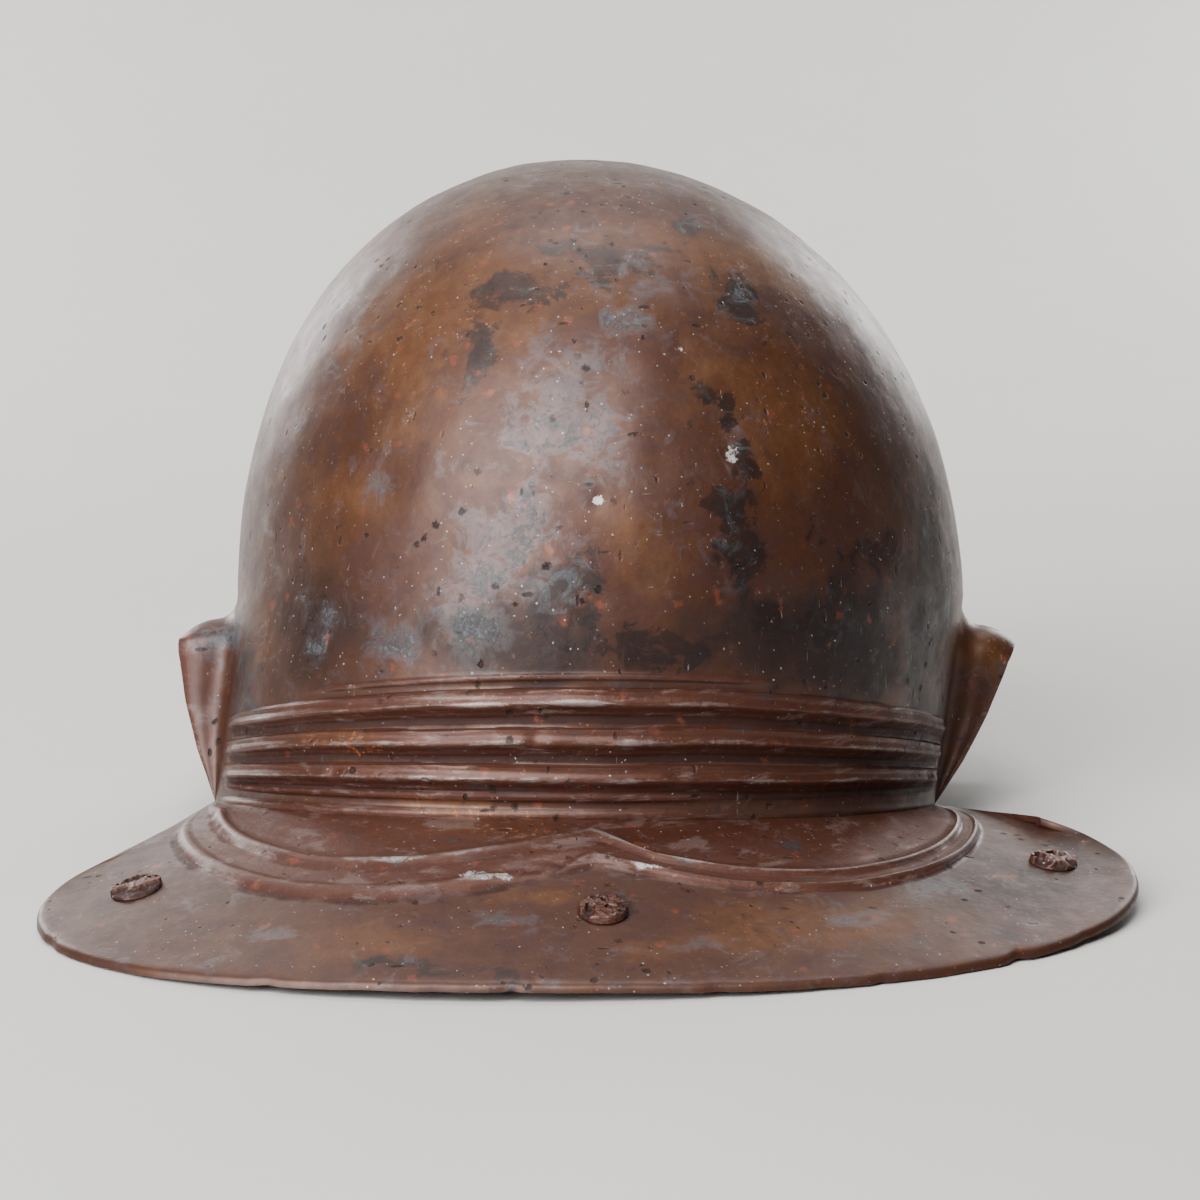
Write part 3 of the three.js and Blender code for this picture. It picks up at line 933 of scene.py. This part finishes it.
def patch_list():
    patches = []
    for kind in KINDS:
        for angle, height, half_width, half_height, strength in PATCHES.get(kind, ()):
            steps = ((angle, height), (angle + 1, height), (angle, height - 1))
            places = [surface_point(*step) for step in steps]
            patches.append(Patch(kind, strength, places, half_width, half_height))
        for angle, distance, half_width, half_depth, strength in GUARD_PATCHES.get(kind, ()):
            steps = ((angle, distance), (angle + 1, distance), (angle, distance + 1))
            places = [GuardLine(turn).point(out) for turn, out in steps]
            patches.append(Patch(kind, strength, places, half_width, half_depth))
    return patches


PATCH_LIST = patch_list()


def patina_and_shade_at(place):
    """How strong each kind of patina, and the painted shade, is at a place."""
    ragged = sum(share * grain(place, size, octaves) for share, size, octaves in PATCH_RAGGED)
    found = dict.fromkeys(KINDS, 0.0)
    for patch in PATCH_LIST:
        found[patch.kind] = max(found[patch.kind], patch.at(place, ragged))
    return found


SHARP_ANGLE = math.radians(50)
# Vertices closer than this are one
WELD = 0.01


def finish_mesh(bm, name, node):
    """The finished piece: laid down on its rims, in metres, standing for its solid."""
    bmesh.ops.transform(bm, matrix=Matrix.Scale(MM, 4) @ REST, verts=bm.verts[:])
    bm.normal_update()
    for edge in bm.edges:
        edge.smooth = not edge.is_manifold or edge.calc_face_angle() < SHARP_ANGLE
    for face in bm.faces:
        face.smooth = True
    mesh = bpy.data.meshes.new(name)
    bm.to_mesh(mesh)
    bm.free()
    piece = bpy.data.objects.new(name, mesh)
    bpy.context.scene.collection.objects.link(piece)
    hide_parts(node)
    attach(piece, "root")
    return piece


def build_sheet(sizes):
    """The whole skull as one sheet of iron."""
    bm = bmesh.new()
    verts = bm.verts.layers
    layers = {name: verts.float_vector.new(name) for name in ("shift", "inner")}
    layers.update({name: verts.float.new(name) for name in SPOT_NUMBERS + KINDS})
    back = [back_spots(i / NAPE_COLUMNS, sizes) for i in range(NAPE_COLUMNS + 1)]
    front = [front_spots(i / FRONT_COLUMNS) for i in range(FRONT_COLUMNS + 1)]
    add_patch(bm, back, layers)
    add_patch(bm, front, layers)
    for side in (-1, 1):
        ear = [ear_spots(i / EAR_COLUMNS, side) for i in range(EAR_COLUMNS + 1)]
        flange = flange_spots(flange_path(back, front, side), side)
        add_patch(bm, ear[::side], layers)
        add_patch(bm, flange[::side], layers)
    bmesh.ops.remove_doubles(bm, verts=bm.verts[:], dist=WELD)
    bm.normal_update()
    for vert in bm.verts:
        normal = vert.normal.copy()
        if vert[layers["flat"]] > 0.5:
            normal.z = 0
            normal.normalize()
        calm = 1.0
        for place in BOSS_PLACES:
            calm = min(calm, smooth((vert.co - place.translation).length, *BOSS_CALM))
        patina = patina_and_shade_at(vert.co)
        for kind, strength in patina.items():
            vert[layers[kind]] = strength
        stand = unevenness(vert.co) - CHIP_DEPTH * patina["chip"]
        stand += SLATE_WAVE[0] * patina["slate"] * grain(vert.co, SLATE_WAVE[1], 2)
        stand *= calm * sizes.dent_depth / MM * (GUARD_CALM if vert[layers["down"]] > 0.5 else 1.0)
        vert.co += vert[layers["shift"]] + normal * stand
        into = Vector((0, 0, -1)) if vert[layers["down"]] > 0.5 else -normal
        vert[layers["inner"]] = vert.co + into * vert[layers["wall"]] * sizes.wall / MM / SHEET_WALL
    sheet = bm.faces[:]
    inner = bm.verts[:]
    bmesh.ops.extrude_face_region(bm, geom=sheet, use_keep_orig=True)
    for vert in inner:
        vert.co = vert[layers["inner"]]
    for name in ("shift", "inner"):
        verts.float_vector.remove(verts.float_vector[name])
    for name in ("wall", "down", "flat"):
        verts.float.remove(verts.float[name])
    return finish_mesh(bm, "skull_sheet", "skull")


def boss_relief(name, place):
    """How a boss's worn face stands at a place on it."""
    own = Vector((3 * len(name), 0, 0))
    relief = sum(height * grain(place + own, size, octaves) for height, size, octaves in BOSS_GRAIN)
    spot = place / BOSS_STRAY_SIZE
    torn = place + BOSS_STRAY * Vector((noise.noise(spot + own), noise.noise(spot - own), 0.0))
    for across, along, radius, height in BOSS_MARKS[name]:
        distance = math.hypot(torn.x - across, torn.y - along) / radius
        relief += height * (1 - smooth(distance, *MARK_FADE))
    return relief


def build_boss(name, node, radius, place, sizes):
    """A riveted boss: a worn disc on the neck guard, its shank and its hammered tail below."""
    bm = bmesh.new()
    for kind in ("worn", "hollow_shade") + KINDS:
        bm.verts.layers.float.new(kind)
    top = BOSS_GAP + sizes.boss_height / MM
    under = -SHEET_WALL - TAIL_GAP
    profile = [(across * TAIL_RADIUS, under - down * TAIL_HEIGHT) for across, down in TAIL_SIDE]
    profile += [(SHANK_RADIUS, under), (SHANK_RADIUS, BOSS_GAP)]
    profile += [((SHANK_RADIUS + radius) / 2, BOSS_GAP), (BOSS_LIP * radius, BOSS_GAP)]
    profile += [(across * radius, mix(BOSS_GAP, top, share)) for across, share in BOSS_SIDE]
    rows = [BOSS_FACE * (1 - row / BOSS_FACE_ROWS) for row in range(BOSS_FACE_ROWS + 1)]
    profile += [(radius * across, top) for across in rows]
    verts = [bm.verts.new((x, 0, z)) for x, z in profile]
    edges = [bm.edges.new(pair) for pair in zip(verts, verts[1:])]
    bmesh.ops.spin(
        bm,
        geom=verts + edges,
        axis=(0, 0, 1),
        cent=(0, 0, 0),
        angle=math.tau,
        steps=BOSS_SIDES,
        use_merge=True,
    )
    bmesh.ops.remove_doubles(bm, verts=bm.verts[:], dist=WELD)
    bmesh.ops.recalc_face_normals(bm, faces=bm.faces[:])
    worn, hollow_shade, bare, dark = (bm.verts.layers.float[kind] for kind in ("worn", "hollow_shade", "bare", "dark"))
    for vert in bm.verts:
        share = clamp((vert.co.z - BOSS_GAP) / (top - BOSS_GAP))
        if share <= 0:
            continue
        relief = boss_relief(name, vert.co)
        ragged = 1 + BOSS_RAGGED * noise.noise(vert.co / 2.4 + Vector((0, 0, 5.0)))
        # A boss's lumps take wear and a painted highlight, its hollows painted shade
        vert[worn] = clamp(BOSS_WEAR_AND_SHEEN + relief)
        vert[hollow_shade] = clamp(-BOSS_HOLLOW_SHADE * relief)
        vert[bare] = BOSS_BARE
        vert[dark] = BOSS_DARK
        vert.co.z = max(vert.co.z + share * relief, BOSS_GAP + BOSS_LEAST * share)
        vert.co.xy = vert.co.xy * mix(1.0, ragged, share)
    bm.transform(place)
    return finish_mesh(bm, name, node)


# Finishes


class Value:
    """A shader socket that sums can be written with."""

    def __init__(self, graph, socket):
        self.graph = graph
        self.socket = socket

    def maths(self, operation, *others):
        return self.graph.node("ShaderNodeMath", {"operation": operation}, dict(enumerate((self,) + others)))

    def __add__(self, other):
        return self.maths("ADD", other)

    def __sub__(self, other):
        return self.maths("SUBTRACT", other)

    def __mul__(self, other):
        return self.maths("MULTIPLY", other)

    def __rsub__(self, other):
        return self.graph.node("ShaderNodeMath", {"operation": "SUBTRACT"}, {0: other, 1: self})

    __radd__ = __add__
    __rmul__ = __mul__

    def clamped(self):
        return self.graph.node("ShaderNodeMath", {"operation": "ADD", "use_clamp": True}, {0: self, 1: 0.0})

    def larger(self, other):
        return self.maths("MAXIMUM", other)

    def between(self, low, high):
        """0 below low and 1 above high, eased between them. A low above high turns it round."""
        settings = {"interpolation_type": "SMOOTHSTEP"}
        if low < high:
            return self.graph.node("ShaderNodeMapRange", settings, {0: self, 1: low, 2: high})
        return self.graph.node("ShaderNodeMapRange", settings, {0: self, 1: high, 2: low, 3: 1.0, 4: 0.0})


def opaque(colour):
    return (*colour[:3], 1.0)


class Graph:
    """A material's nodes."""

    def __init__(self, material):
        material.use_nodes = True
        self.tree = material.node_tree
        self.tree.nodes.clear()
        self.place = self.node("ShaderNodeTexCoord", output="Object")

    def node(self, kind, settings=None, values=None, output=0):
        """A node of a kind: first its settings, then the values or links of its sockets."""
        made = self.tree.nodes.new(kind)
        for name, setting in (settings or {}).items():
            setattr(made, name, setting)
        for key, value in (values or {}).items():
            if isinstance(value, Value):
                self.tree.links.new(value.socket, made.inputs[key])
            else:
                made.inputs[key].default_value = value
        return Value(self, made.outputs[output]) if made.outputs else None

    def attribute(self, name):
        return self.node("ShaderNodeAttribute", {"attribute_name": name}, output="Fac")

    def colours(self, share, first, second):
        """The first colour where the share is 0 and the second where it is 1."""
        first, second = (part if isinstance(part, Value) else opaque(part) for part in (first, second))
        settings = {"data_type": "RGBA"}
        return self.node("ShaderNodeMix", settings, {0: share, 6: first, 7: second}, output=2)

    def painted(self, colour, coats):
        """The colour with others laid over it in turn, as (share, colour) rows."""
        for share, over in coats:
            colour = self.colours(share, colour, over)
        return colour

    def moved(self, offset=(0, 0, 0), scale=(1, 1, 1), turn=(0, 0, 0)):
        return self.node("ShaderNodeMapping", None, {0: self.place, 1: offset, 2: turn, 3: scale})

    def noise(self, size, detail=4.0, roughness=0.5, distortion=0.0, place=None):
        """Noise around 0.5 with features of a size in millimetres."""
        values = {"Vector": place or self.place, "Scale": 1 / (size * MM), "Detail": detail}
        values.update({"Roughness": roughness, "Distortion": distortion})
        return self.node("ShaderNodeTexNoise", None, values)

    def cells(self, size, place=None):
        """The distance to scattered points that are about a size in millimetres apart, in shares of it."""
        values = {"Vector": place or self.place, "Scale": 1 / (size * MM)}
        return self.node("ShaderNodeTexVoronoi", None, values, output="Distance")

    def finish(self, values, bumps):
        """The surface, with bumps as (height in millimetres, pattern from 0 to 1) rows."""
        normal = None
        for depth, pattern in bumps:
            settings = {0: 1.0, 1: depth * MM, "Height": pattern}
            if normal:
                settings["Normal"] = normal
            normal = self.node("ShaderNodeBump", None, settings)
        shader = self.node("ShaderNodeBsdfPrincipled", None, {**values, "Normal": normal})
        self.node("ShaderNodeOutputMaterial", None, {"Surface": shader})


def pits(graph, ragged, fine, spread, slate):
    """Deep pits with short dashes between them, and small pits. Both gather in the slate patches."""
    deep = (graph.cells(6.2, graph.moved((2.1, 1.7, 0.6))) + (fine - 0.5) * 0.5).between(0.19, 0.06)
    places = graph.noise(30, 3, 0.5, 0.8, graph.moved((7, 3, 2)))
    deep = deep * (places + slate * 0.3).between(0.48, 0.6)
    dash = graph.cells(6, graph.moved((1, 4, 2), (1, 1, 0.3), (0.3, 0.7, 0))).between(0.11, 0.05)
    level = graph.cells(7, graph.moved((3, 2, 5), (0.3, 1, 1), (0.2, 0.5, 0.3)))
    dash = dash.larger(level.between(0.1, 0.04)) * (spread + slate * 0.4).between(0.42, 0.56)
    small = (graph.cells(1.9, graph.moved((5.1, 0.7, 3.6))) + (fine - 0.5) * 0.5).between(0.22, 0.08)
    return deep.larger(dash), small * (ragged + slate * 0.35).between(0.58, 0.74)


def scratches(graph):
    upright = graph.noise(2.6, 3, 0.7, 0, graph.moved((0, 0, 0), (2.4, 2.4, 0.1), (0.35, 0.5, 0)))
    level = graph.noise(2.2, 3, 0.7, 0, graph.moved((0, 0, 0), (0.12, 2, 2.4), (0, 0.25, 0.3)))
    return upright.between(0.69, 0.75).larger(level.between(0.7, 0.76))


def iron_finish(name, looks, sheen_and_wear_strength):
    """Old iron under wax: brown and rust-coloured patina, slate patches, pits, specks and edges rubbed bare,
    with painted highlights along the crests and rims, a purple-grey painted sheen round the slate patches,
    and painted shade low on the bowl and in the hollows.
    """
    material = bpy.data.materials.new(name)
    graph = Graph(material)
    marks = {mark: graph.attribute(mark) for mark in ("worn", "hollow_shade") + KINDS}

    # Noise around 0.5 of many sizes
    broad = graph.noise(42, 4, 0.55, 0.6, graph.moved((0.3, 0.1, 0.7)))
    spread = graph.noise(24, 5, 0.62, 1.2, graph.moved((4, 2, 1)))
    edge = graph.noise(9, 10, 0.74, 0.7, graph.moved((1, 5, 2)))
    other_edge = graph.noise(8, 9, 0.74, 0.7, graph.moved((8, 1, 6)))
    ragged = graph.noise(7, 6, 0.65, 0.4)
    streaks = graph.noise(4.5, 6, 0.7, 0.3, graph.moved((2, 6, 4), (0.3, 0.3, 1.6)))
    streaky = graph.noise(3.2, 4, 0.6, 0.2, graph.moved((0, 0, 0), (1, 1, 0.28), (0, 0.4, 0.2)))
    grit = graph.noise(1.7, 7, 0.72, 0.5, graph.moved((6, 3, 1)))
    fine = graph.noise(1.4, 5, 0.65)
    speckle = graph.noise(0.55, 3, 0.6)
    torn = (edge - 0.5) * 4.2 + (fine - 0.5) * 0.3
    other_torn = (other_edge - 0.5) * 4

    # Patches of the patina, a painted sheen round the slate patches, and painted shade low on the bowl and in
    # the hollows
    rust = (marks["rust"] * 0.75 + (broad - 0.45) * 1.3 + torn * 0.3).between(0.05, 0.8)
    dark_strength = marks["dark"] + torn + (0.42 - broad) * 0.8
    fringe = dark_strength.between(0.22, 0.5)
    dark = dark_strength.between(0.5, 0.6)
    deep = dark_strength.between(0.7, 1.6)
    slate_strength = marks["slate"] * 0.95 + other_torn + (spread - 0.6) * 1.2
    # A purple-grey tint round the slate patches, partly a painted sheen giving the highlights their grey
    # colour
    slate_haze_and_sheen = slate_strength.between(0, 0.6)
    slate = slate_strength.between(0.5, 0.95) * grit.between(0.4, 0.56)
    # Painted shade, broad and soft, low on the bowl and on its right
    painted_shade = (marks["painted_shade"] + torn * 0.12).between(0, 1)
    # Painted shade in the hollows under the ribs, beside the ridges and in the bosses' marks, with less wax
    # and metal
    hollow_shade = (marks["hollow_shade"] * 1.3 + (ragged - 0.5) * 0.9 + (fine - 0.5) * 0.4).between(0.3, 1)
    nape = marks["worn"].between(0.02, 0.2)

    # Spots, pits and scratches
    ember = marks["rust"] * 0.35 + nape * 0.16 + (fine - 0.5) * 2.4 + (other_edge - 0.5) * 2
    red = graph.cells(9, graph.moved((1.3, 0.2, 0.5))) + (ragged - 0.5) * 0.6 + (fine - 0.5) * 0.5
    pale = graph.cells(2.5, graph.moved((0.4, 0.9, 0.1))) + (speckle - 0.5) * 0.5
    pale = pale.between(0.1, 0.04) * spread.between(0.38, 0.58)
    pit, small_pit = pits(graph, ragged, fine, spread, slate)
    scratch = scratches(graph)

    # Metal rubbed or broken bare, and the painted highlight along the crests of ribs, ridges, rims and the
    # bosses' lumps
    crest_sheen_and_wear = marks["worn"] * 0.95 + marks["bare"] * 0.25 + torn * 0.1 + (streaks - 0.5) * 0.6
    crest_sheen_and_wear = crest_sheen_and_wear.between(0.87, 1.03) * sheen_and_wear_strength
    silver = (marks["bare"] * 1.15 + other_torn * 0.7 + (marks["worn"] - 0.75) * 0.8).between(0.7, 0.95)
    silver = silver * (grit.between(0.34, 0.48) * 0.75 + 0.2)
    chip = (marks["chip"] * 1.3 + (fine - 0.5) * 1.6 + torn * 0.25).between(0.62, 0.8)

    brown = graph.colours(ragged.between(0.3, 0.7), looks.brown, looks.purple)
    warm = graph.colours(streaky.between(0.32, 0.7), looks.rust, looks.orange)
    dark_colour = graph.colours(other_edge.between(0.5, 0.62), looks.dark, looks.teal)
    slate_colour = graph.colours(fine.between(0.4, 0.62), looks.slate, looks.teal)
    coats = (
        (fringe * 0.45, looks.purple),
        (slate_haze_and_sheen * 0.4, looks.slate_haze_and_sheen),
        (dark * (0.64 + (ragged - 0.5) * 1.2 + deep * 0.3).clamped(), dark_colour),
        (painted_shade * 0.8, looks.dark),
        (slate * 0.72, slate_colour),
        (hollow_shade * 0.9, looks.hollow_shade),
        (nape * 0.4, looks.ribs),
        (streaks.between(0.58, 0.66) * nape * 0.6, looks.teal),
        (streaks.between(0.46, 0.36) * nape * 0.2, looks.worn),
        (ember.between(0.62, 0.78) * 0.55, looks.ember),
        (red.between(0.16, 0.04) * 0.4, looks.red),
        (pale * 0.75, looks.pale),
        (pit * 0.75, looks.dark),
        (small_pit * 0.5, looks.dark),
        (scratch * 0.3, looks.pale),
        (crest_sheen_and_wear * 0.62, looks.worn),
        (silver * 0.8, looks.chip),
        (chip * 0.9, looks.chip),
    )
    roughness = 0.5 + (ragged - 0.5) * 0.4 + (fine - 0.5) * 0.2
    roughness = roughness + slate * 0.1 - dark * 0.06 + pit * 0.2 + hollow_shade * 0.15
    # The painted shade also takes wax and metal away, dimming the reflections there
    wax = 0.36 + (broad - 0.5) * 0.3 + slate_haze_and_sheen * 0.3 - slate * 0.1 - pit * 0.3 - hollow_shade * 0.4 - painted_shade * 0.36
    metal = 0.5 + crest_sheen_and_wear * 0.3 - slate * 0.35 - hollow_shade * 0.2 - painted_shade * 0.2
    bumps = (
        (0.45, graph.noise(13, 3, 0.5)),
        (0.16, ragged * 0.7 + slate * 0.3),
        (0.14, fine * (slate * 0.7 + nape * 0.7 + 0.35)),
        (0.3, streaks * nape),
        (0.42, 1 - pit),
        (0.22, 1 - small_pit),
        (0.05, 1 - scratch),
        (0.12, silver),
    )
    values = {
        "Base Color": graph.painted(graph.colours(rust, brown, warm), coats),
        "Roughness": roughness.clamped(),
        "Metallic": metal.clamped(),
        "Coat Weight": wax.clamped(),
        "Coat Roughness": 0.38,
        "Specular IOR Level": 0.4,
    }
    graph.finish(values, bumps)
    return material


# How dark the floor's grain is, as a share of its colour
FLOOR_SHADE = 0.96


def floor_finish(looks):
    """A matt pale floor with a barely visible grain."""
    material = bpy.data.materials.new("pale_floor")
    graph = Graph(material)
    shade = [FLOOR_SHADE * part for part in looks.floor]
    colour = graph.colours(graph.noise(60, 3, 0.5), looks.floor, shade)
    values = {"Base Color": colour, "Roughness": 0.7, "Specular IOR Level": 0.2}
    graph.finish(values, ((0.05, graph.noise(1.5, 2, 0.5)),))
    return material


# The stage

# The camera in the level frame: target, distance, angles in degrees, and where the target falls
VIEW_TARGET = Vector((0.0, 0.0, 10.0))
VIEW_DISTANCE = 900.0
VIEW_PITCH = -5.584
VIEW_YAW = 3.539
VIEW_ROLL = -0.254
VIEW_LENS = 94.66
VIEW_SHIFT = (0.00039, -0.02959)

# Lights: name, place and target in metres, size, power
LIGHTS = (
    ("window", (-0.88, -0.95, 0.85), (0.0, 0.0, 0.1), (0.95, 1.4), 43.0),
    ("right_strip", (0.76, 1.2, 0.5), (0.05, 0.0, 0.1), (0.3, 0.8), 6.0),
    ("left_strip", (-0.76, 1.2, 0.48), (-0.05, 0.0, 0.1), (0.3, 0.8), 8.0),
    ("overhead", (-0.16, -0.86, 1.12), (0.0, 0.0, 0.05), (0.5, 0.75), 12.0),
    ("backdrop_wash", (0.0, 0.55, 1.9), (0.0, 2.1, 0.5), (1.8, 0.5), 42.0),
)


def build_camera():
    pitch, yaw, roll = (math.radians(angle) for angle in (VIEW_PITCH, VIEW_YAW, VIEW_ROLL))
    back = Vector((-math.sin(yaw) * math.cos(pitch), -math.cos(yaw) * math.cos(pitch), math.sin(pitch)))
    right = Vector((math.cos(yaw), -math.sin(yaw), 0))
    up = back.cross(right)
    turned_right = right * math.cos(roll) - up * math.sin(roll)
    turned_up = right * math.sin(roll) + up * math.cos(roll)
    level = Matrix((turned_right, turned_up, back)).transposed().to_4x4()
    level.translation = VIEW_TARGET + back * VIEW_DISTANCE
    placed = REST @ level
    placed.translation *= MM
    data = bpy.data.cameras.new("camera")
    data.lens = VIEW_LENS
    data.sensor_width = 36.0
    data.shift_x, data.shift_y = VIEW_SHIFT
    data.clip_end = 20.0
    camera = bpy.data.objects.new("camera", data)
    camera.matrix_world = placed
    bpy.context.scene.collection.objects.link(camera)
    bpy.context.scene.camera = camera


def build_lights(power):
    for name, place, target, size, watts in LIGHTS:
        data = bpy.data.lights.new(name, "AREA")
        data.shape = "ELLIPSE"
        data.size, data.size_y = size
        data.energy = watts * power
        light = bpy.data.objects.new(name, data)
        light.location = place
        way = Vector(target) - Vector(place)
        light.rotation_euler = way.to_track_quat("-Z", "Y").to_euler()
        bpy.context.scene.collection.objects.link(light)


FLOOR_HALF = 3.0
FLOOR_BEHIND = 1.6
BACKDROP_HEIGHT = 3.0
BACKDROP_BEND = 0.9


def build_floor(looks):
    """A floor that bends up into a backdrop behind the helmet."""
    bm = bmesh.new()
    corners = [(-FLOOR_HALF, -FLOOR_HALF, 0), (FLOOR_HALF, -FLOOR_HALF, 0)]
    front = [bm.verts.new(corner) for corner in corners]
    edge = bm.edges.new(front)
    steps = ((0, FLOOR_HALF + FLOOR_BEHIND, 0), (0, 0, BACKDROP_HEIGHT))
    bends = []
    for step in steps:
        grown = bmesh.ops.extrude_edge_only(bm, edges=[edge])["geom"]
        moved = [item for item in grown if isinstance(item, bmesh.types.BMVert)]
        bmesh.ops.translate(bm, verts=moved, vec=step)
        edge = next(item for item in grown if isinstance(item, bmesh.types.BMEdge))
        bends.append(edge)
    bmesh.ops.bevel(
        bm, geom=[bends[0]], offset=BACKDROP_BEND, affect="EDGES", segments=16, profile=0.5, material=-1
    )
    bmesh.ops.recalc_face_normals(bm, faces=bm.faces[:])
    for face in bm.faces:
        face.smooth = True
    mesh = bpy.data.meshes.new("floor")
    bm.to_mesh(mesh)
    bm.free()
    floor = bpy.data.objects.new("floor", mesh)
    bpy.context.scene.collection.objects.link(floor)
    mesh.materials.append(floor_finish(looks))


def build_world(strength):
    world = bpy.data.worlds.new("studio")
    world.use_nodes = True
    background = world.node_tree.nodes["Background"]
    background.inputs["Color"].default_value = (1.0, 0.985, 0.96, 1.0)
    background.inputs["Strength"].default_value = strength
    bpy.context.scene.world = world


# Settings


def length(name, description, default):
    return FloatProperty(name=name, description=description, default=default * MM, unit="LENGTH", precision=5)


def colour(name, description, default):
    return FloatVectorProperty(
        name=name, description=description, default=default, subtype="COLOR", size=3, min=0.0, max=1.0
    )


class HelmetSizes(bpy.types.PropertyGroup):
    """Sizes of the helmet that can change without its main shape."""

    wall: length("Sheet", "Thickness of the iron sheet", SHEET_WALL)
    rib_relief: length("Ribs", "How far the nape ribs stand out", RIB_RELIEF)
    crescent_lift: length("Crescents", "How far the neck guard's crescents stand up", CRESCENT_LIFT)
    dent_depth: length("Dents", "Depth of a dent of ordinary size in the old sheet", 1.0)
    boss_height: length("Bosses", "Height of the bosses on the neck guard", BOSS_HEIGHT)


class HelmetLooks(bpy.types.PropertyGroup):
    """Colours of the patina and the stage."""

    brown: colour("Brown", "Main colour of the patina", (0.072, 0.025, 0.01))
    purple: colour("Purple brown", "Cooler brown between the main areas", (0.052, 0.018, 0.013))
    rust: colour("Rust", "Warm areas of the patina", (0.098, 0.034, 0.0115))
    orange: colour("Orange", "Lighter streaks in the warm areas", (0.122, 0.048, 0.016))
    dark: colour("Dark", "Nearly black areas and the bottoms of pits", (0.014, 0.0085, 0.008))
    # Purple-grey tint, partly a painted sheen giving the highlights their grey colour
    slate_haze_and_sheen: colour("Haze", "Purple-grey tint round the slate patches", (0.085, 0.066, 0.075))
    slate: colour("Slate", "Rough grey-blue patches", (0.075, 0.088, 0.1))
    teal: colour("Teal", "Darker part of the grey-blue patches", (0.03, 0.042, 0.046))
    # Colour of the painted shade in the hollows between ribs and ridges and in the bosses' marks
    hollow_shade: colour("Hollows", "Dirt in the hollows between ribs and ridges", (0.026, 0.007, 0.0045))
    ribs: colour("Ribs", "Redder brown on the ribs and ridges", (0.1, 0.026, 0.013))
    ember: colour("Fresh rust", "Small bright orange grains of rust", (0.42, 0.13, 0.03))
    red: colour("Red", "Small reddish spots", (0.24, 0.05, 0.022))
    pale: colour("Pale specks", "Small pale specks of bare corroded metal", (0.42, 0.39, 0.37))
    chip: colour("Chips", "Bottoms of the few fresh pale chips", (0.56, 0.54, 0.52))
    # Colour of the painted highlight along the crests and rims, over metal rubbed bare there
    worn: colour("Worn crests", "Metal rubbed bare on the crests of ribs and edges", (0.34, 0.28, 0.26))
    floor: colour("Floor", "Floor and backdrop", (0.6, 0.59, 0.57))
    power: FloatProperty(name="Light", description="Power of all the lights", default=1.0, min=0.0)
    world: FloatProperty(name="Surroundings", description="Light from all around", default=0.05, min=0.0)


# Operators and the panel


class HELMET_OT_skull(bpy.types.Operator):
    """Build the skull with its ribs, flanges and neck guard as one sheet"""

    bl_idname = "helmet.skull"
    bl_label = "Skull"

    def execute(self, context):
        scene = context.scene
        piece = build_sheet(scene.helmet_sizes)
        piece.data.materials.append(iron_finish("waxed_iron", scene.helmet_looks, 1.0))
        return {"FINISHED"}


class HELMET_OT_bosses(bpy.types.Operator):
    """Build the three riveted bosses on the neck guard"""

    bl_idname = "helmet.bosses"
    bl_label = "Bosses"

    def execute(self, context):
        scene = context.scene
        finish = iron_finish("corroded_iron", scene.helmet_looks, 0.8)
        for (name, node, _, _, radius), place in zip(BOSSES, BOSS_PLACES):
            piece = build_boss(name, node, radius, place, scene.helmet_sizes)
            piece.data.materials.append(finish)
        return {"FINISHED"}


class HELMET_OT_stage(bpy.types.Operator):
    """Set up the floor, lights and camera"""

    bl_idname = "helmet.stage"
    bl_label = "Stage"

    def execute(self, context):
        looks = context.scene.helmet_looks
        build_floor(looks)
        build_world(looks.world)
        build_lights(looks.power)
        build_camera()
        return {"FINISHED"}


class HELMET_PT_panel(bpy.types.Panel):
    """Lists the helmet's operators with their sizes and colours"""

    bl_idname = "HELMET_PT_panel"
    bl_label = "Legionary helmet"
    bl_space_type = "VIEW_3D"
    bl_region_type = "UI"
    bl_category = "Helmet"

    def draw(self, context):
        for operator in OPERATORS:
            self.layout.operator(operator.bl_idname)
        for group in (context.scene.helmet_sizes, context.scene.helmet_looks):
            for name in group.bl_rna.properties.keys():
                if name not in ("rna_type", "name"):
                    self.layout.prop(group, name)


OPERATORS = (HELMET_OT_skull, HELMET_OT_bosses, HELMET_OT_stage)
CLASSES = (HelmetSizes, HelmetLooks) + OPERATORS + (HELMET_PT_panel,)


def register():
    for item in CLASSES:
        bpy.utils.register_class(item)
    bpy.types.Scene.helmet_sizes = PointerProperty(type=HelmetSizes)
    bpy.types.Scene.helmet_looks = PointerProperty(type=HelmetLooks)


def unregister():
    del bpy.types.Scene.helmet_looks
    del bpy.types.Scene.helmet_sizes
    for item in reversed(CLASSES):
        bpy.utils.unregister_class(item)


def plain(box):
    return [[float(part) for part in corner] for corner in box]


def main():
    register()
    bpy.ops.helmet.skull()
    bpy.ops.helmet.bosses()
    bpy.ops.helmet.stage()


if __name__ == "__main__":
    main()
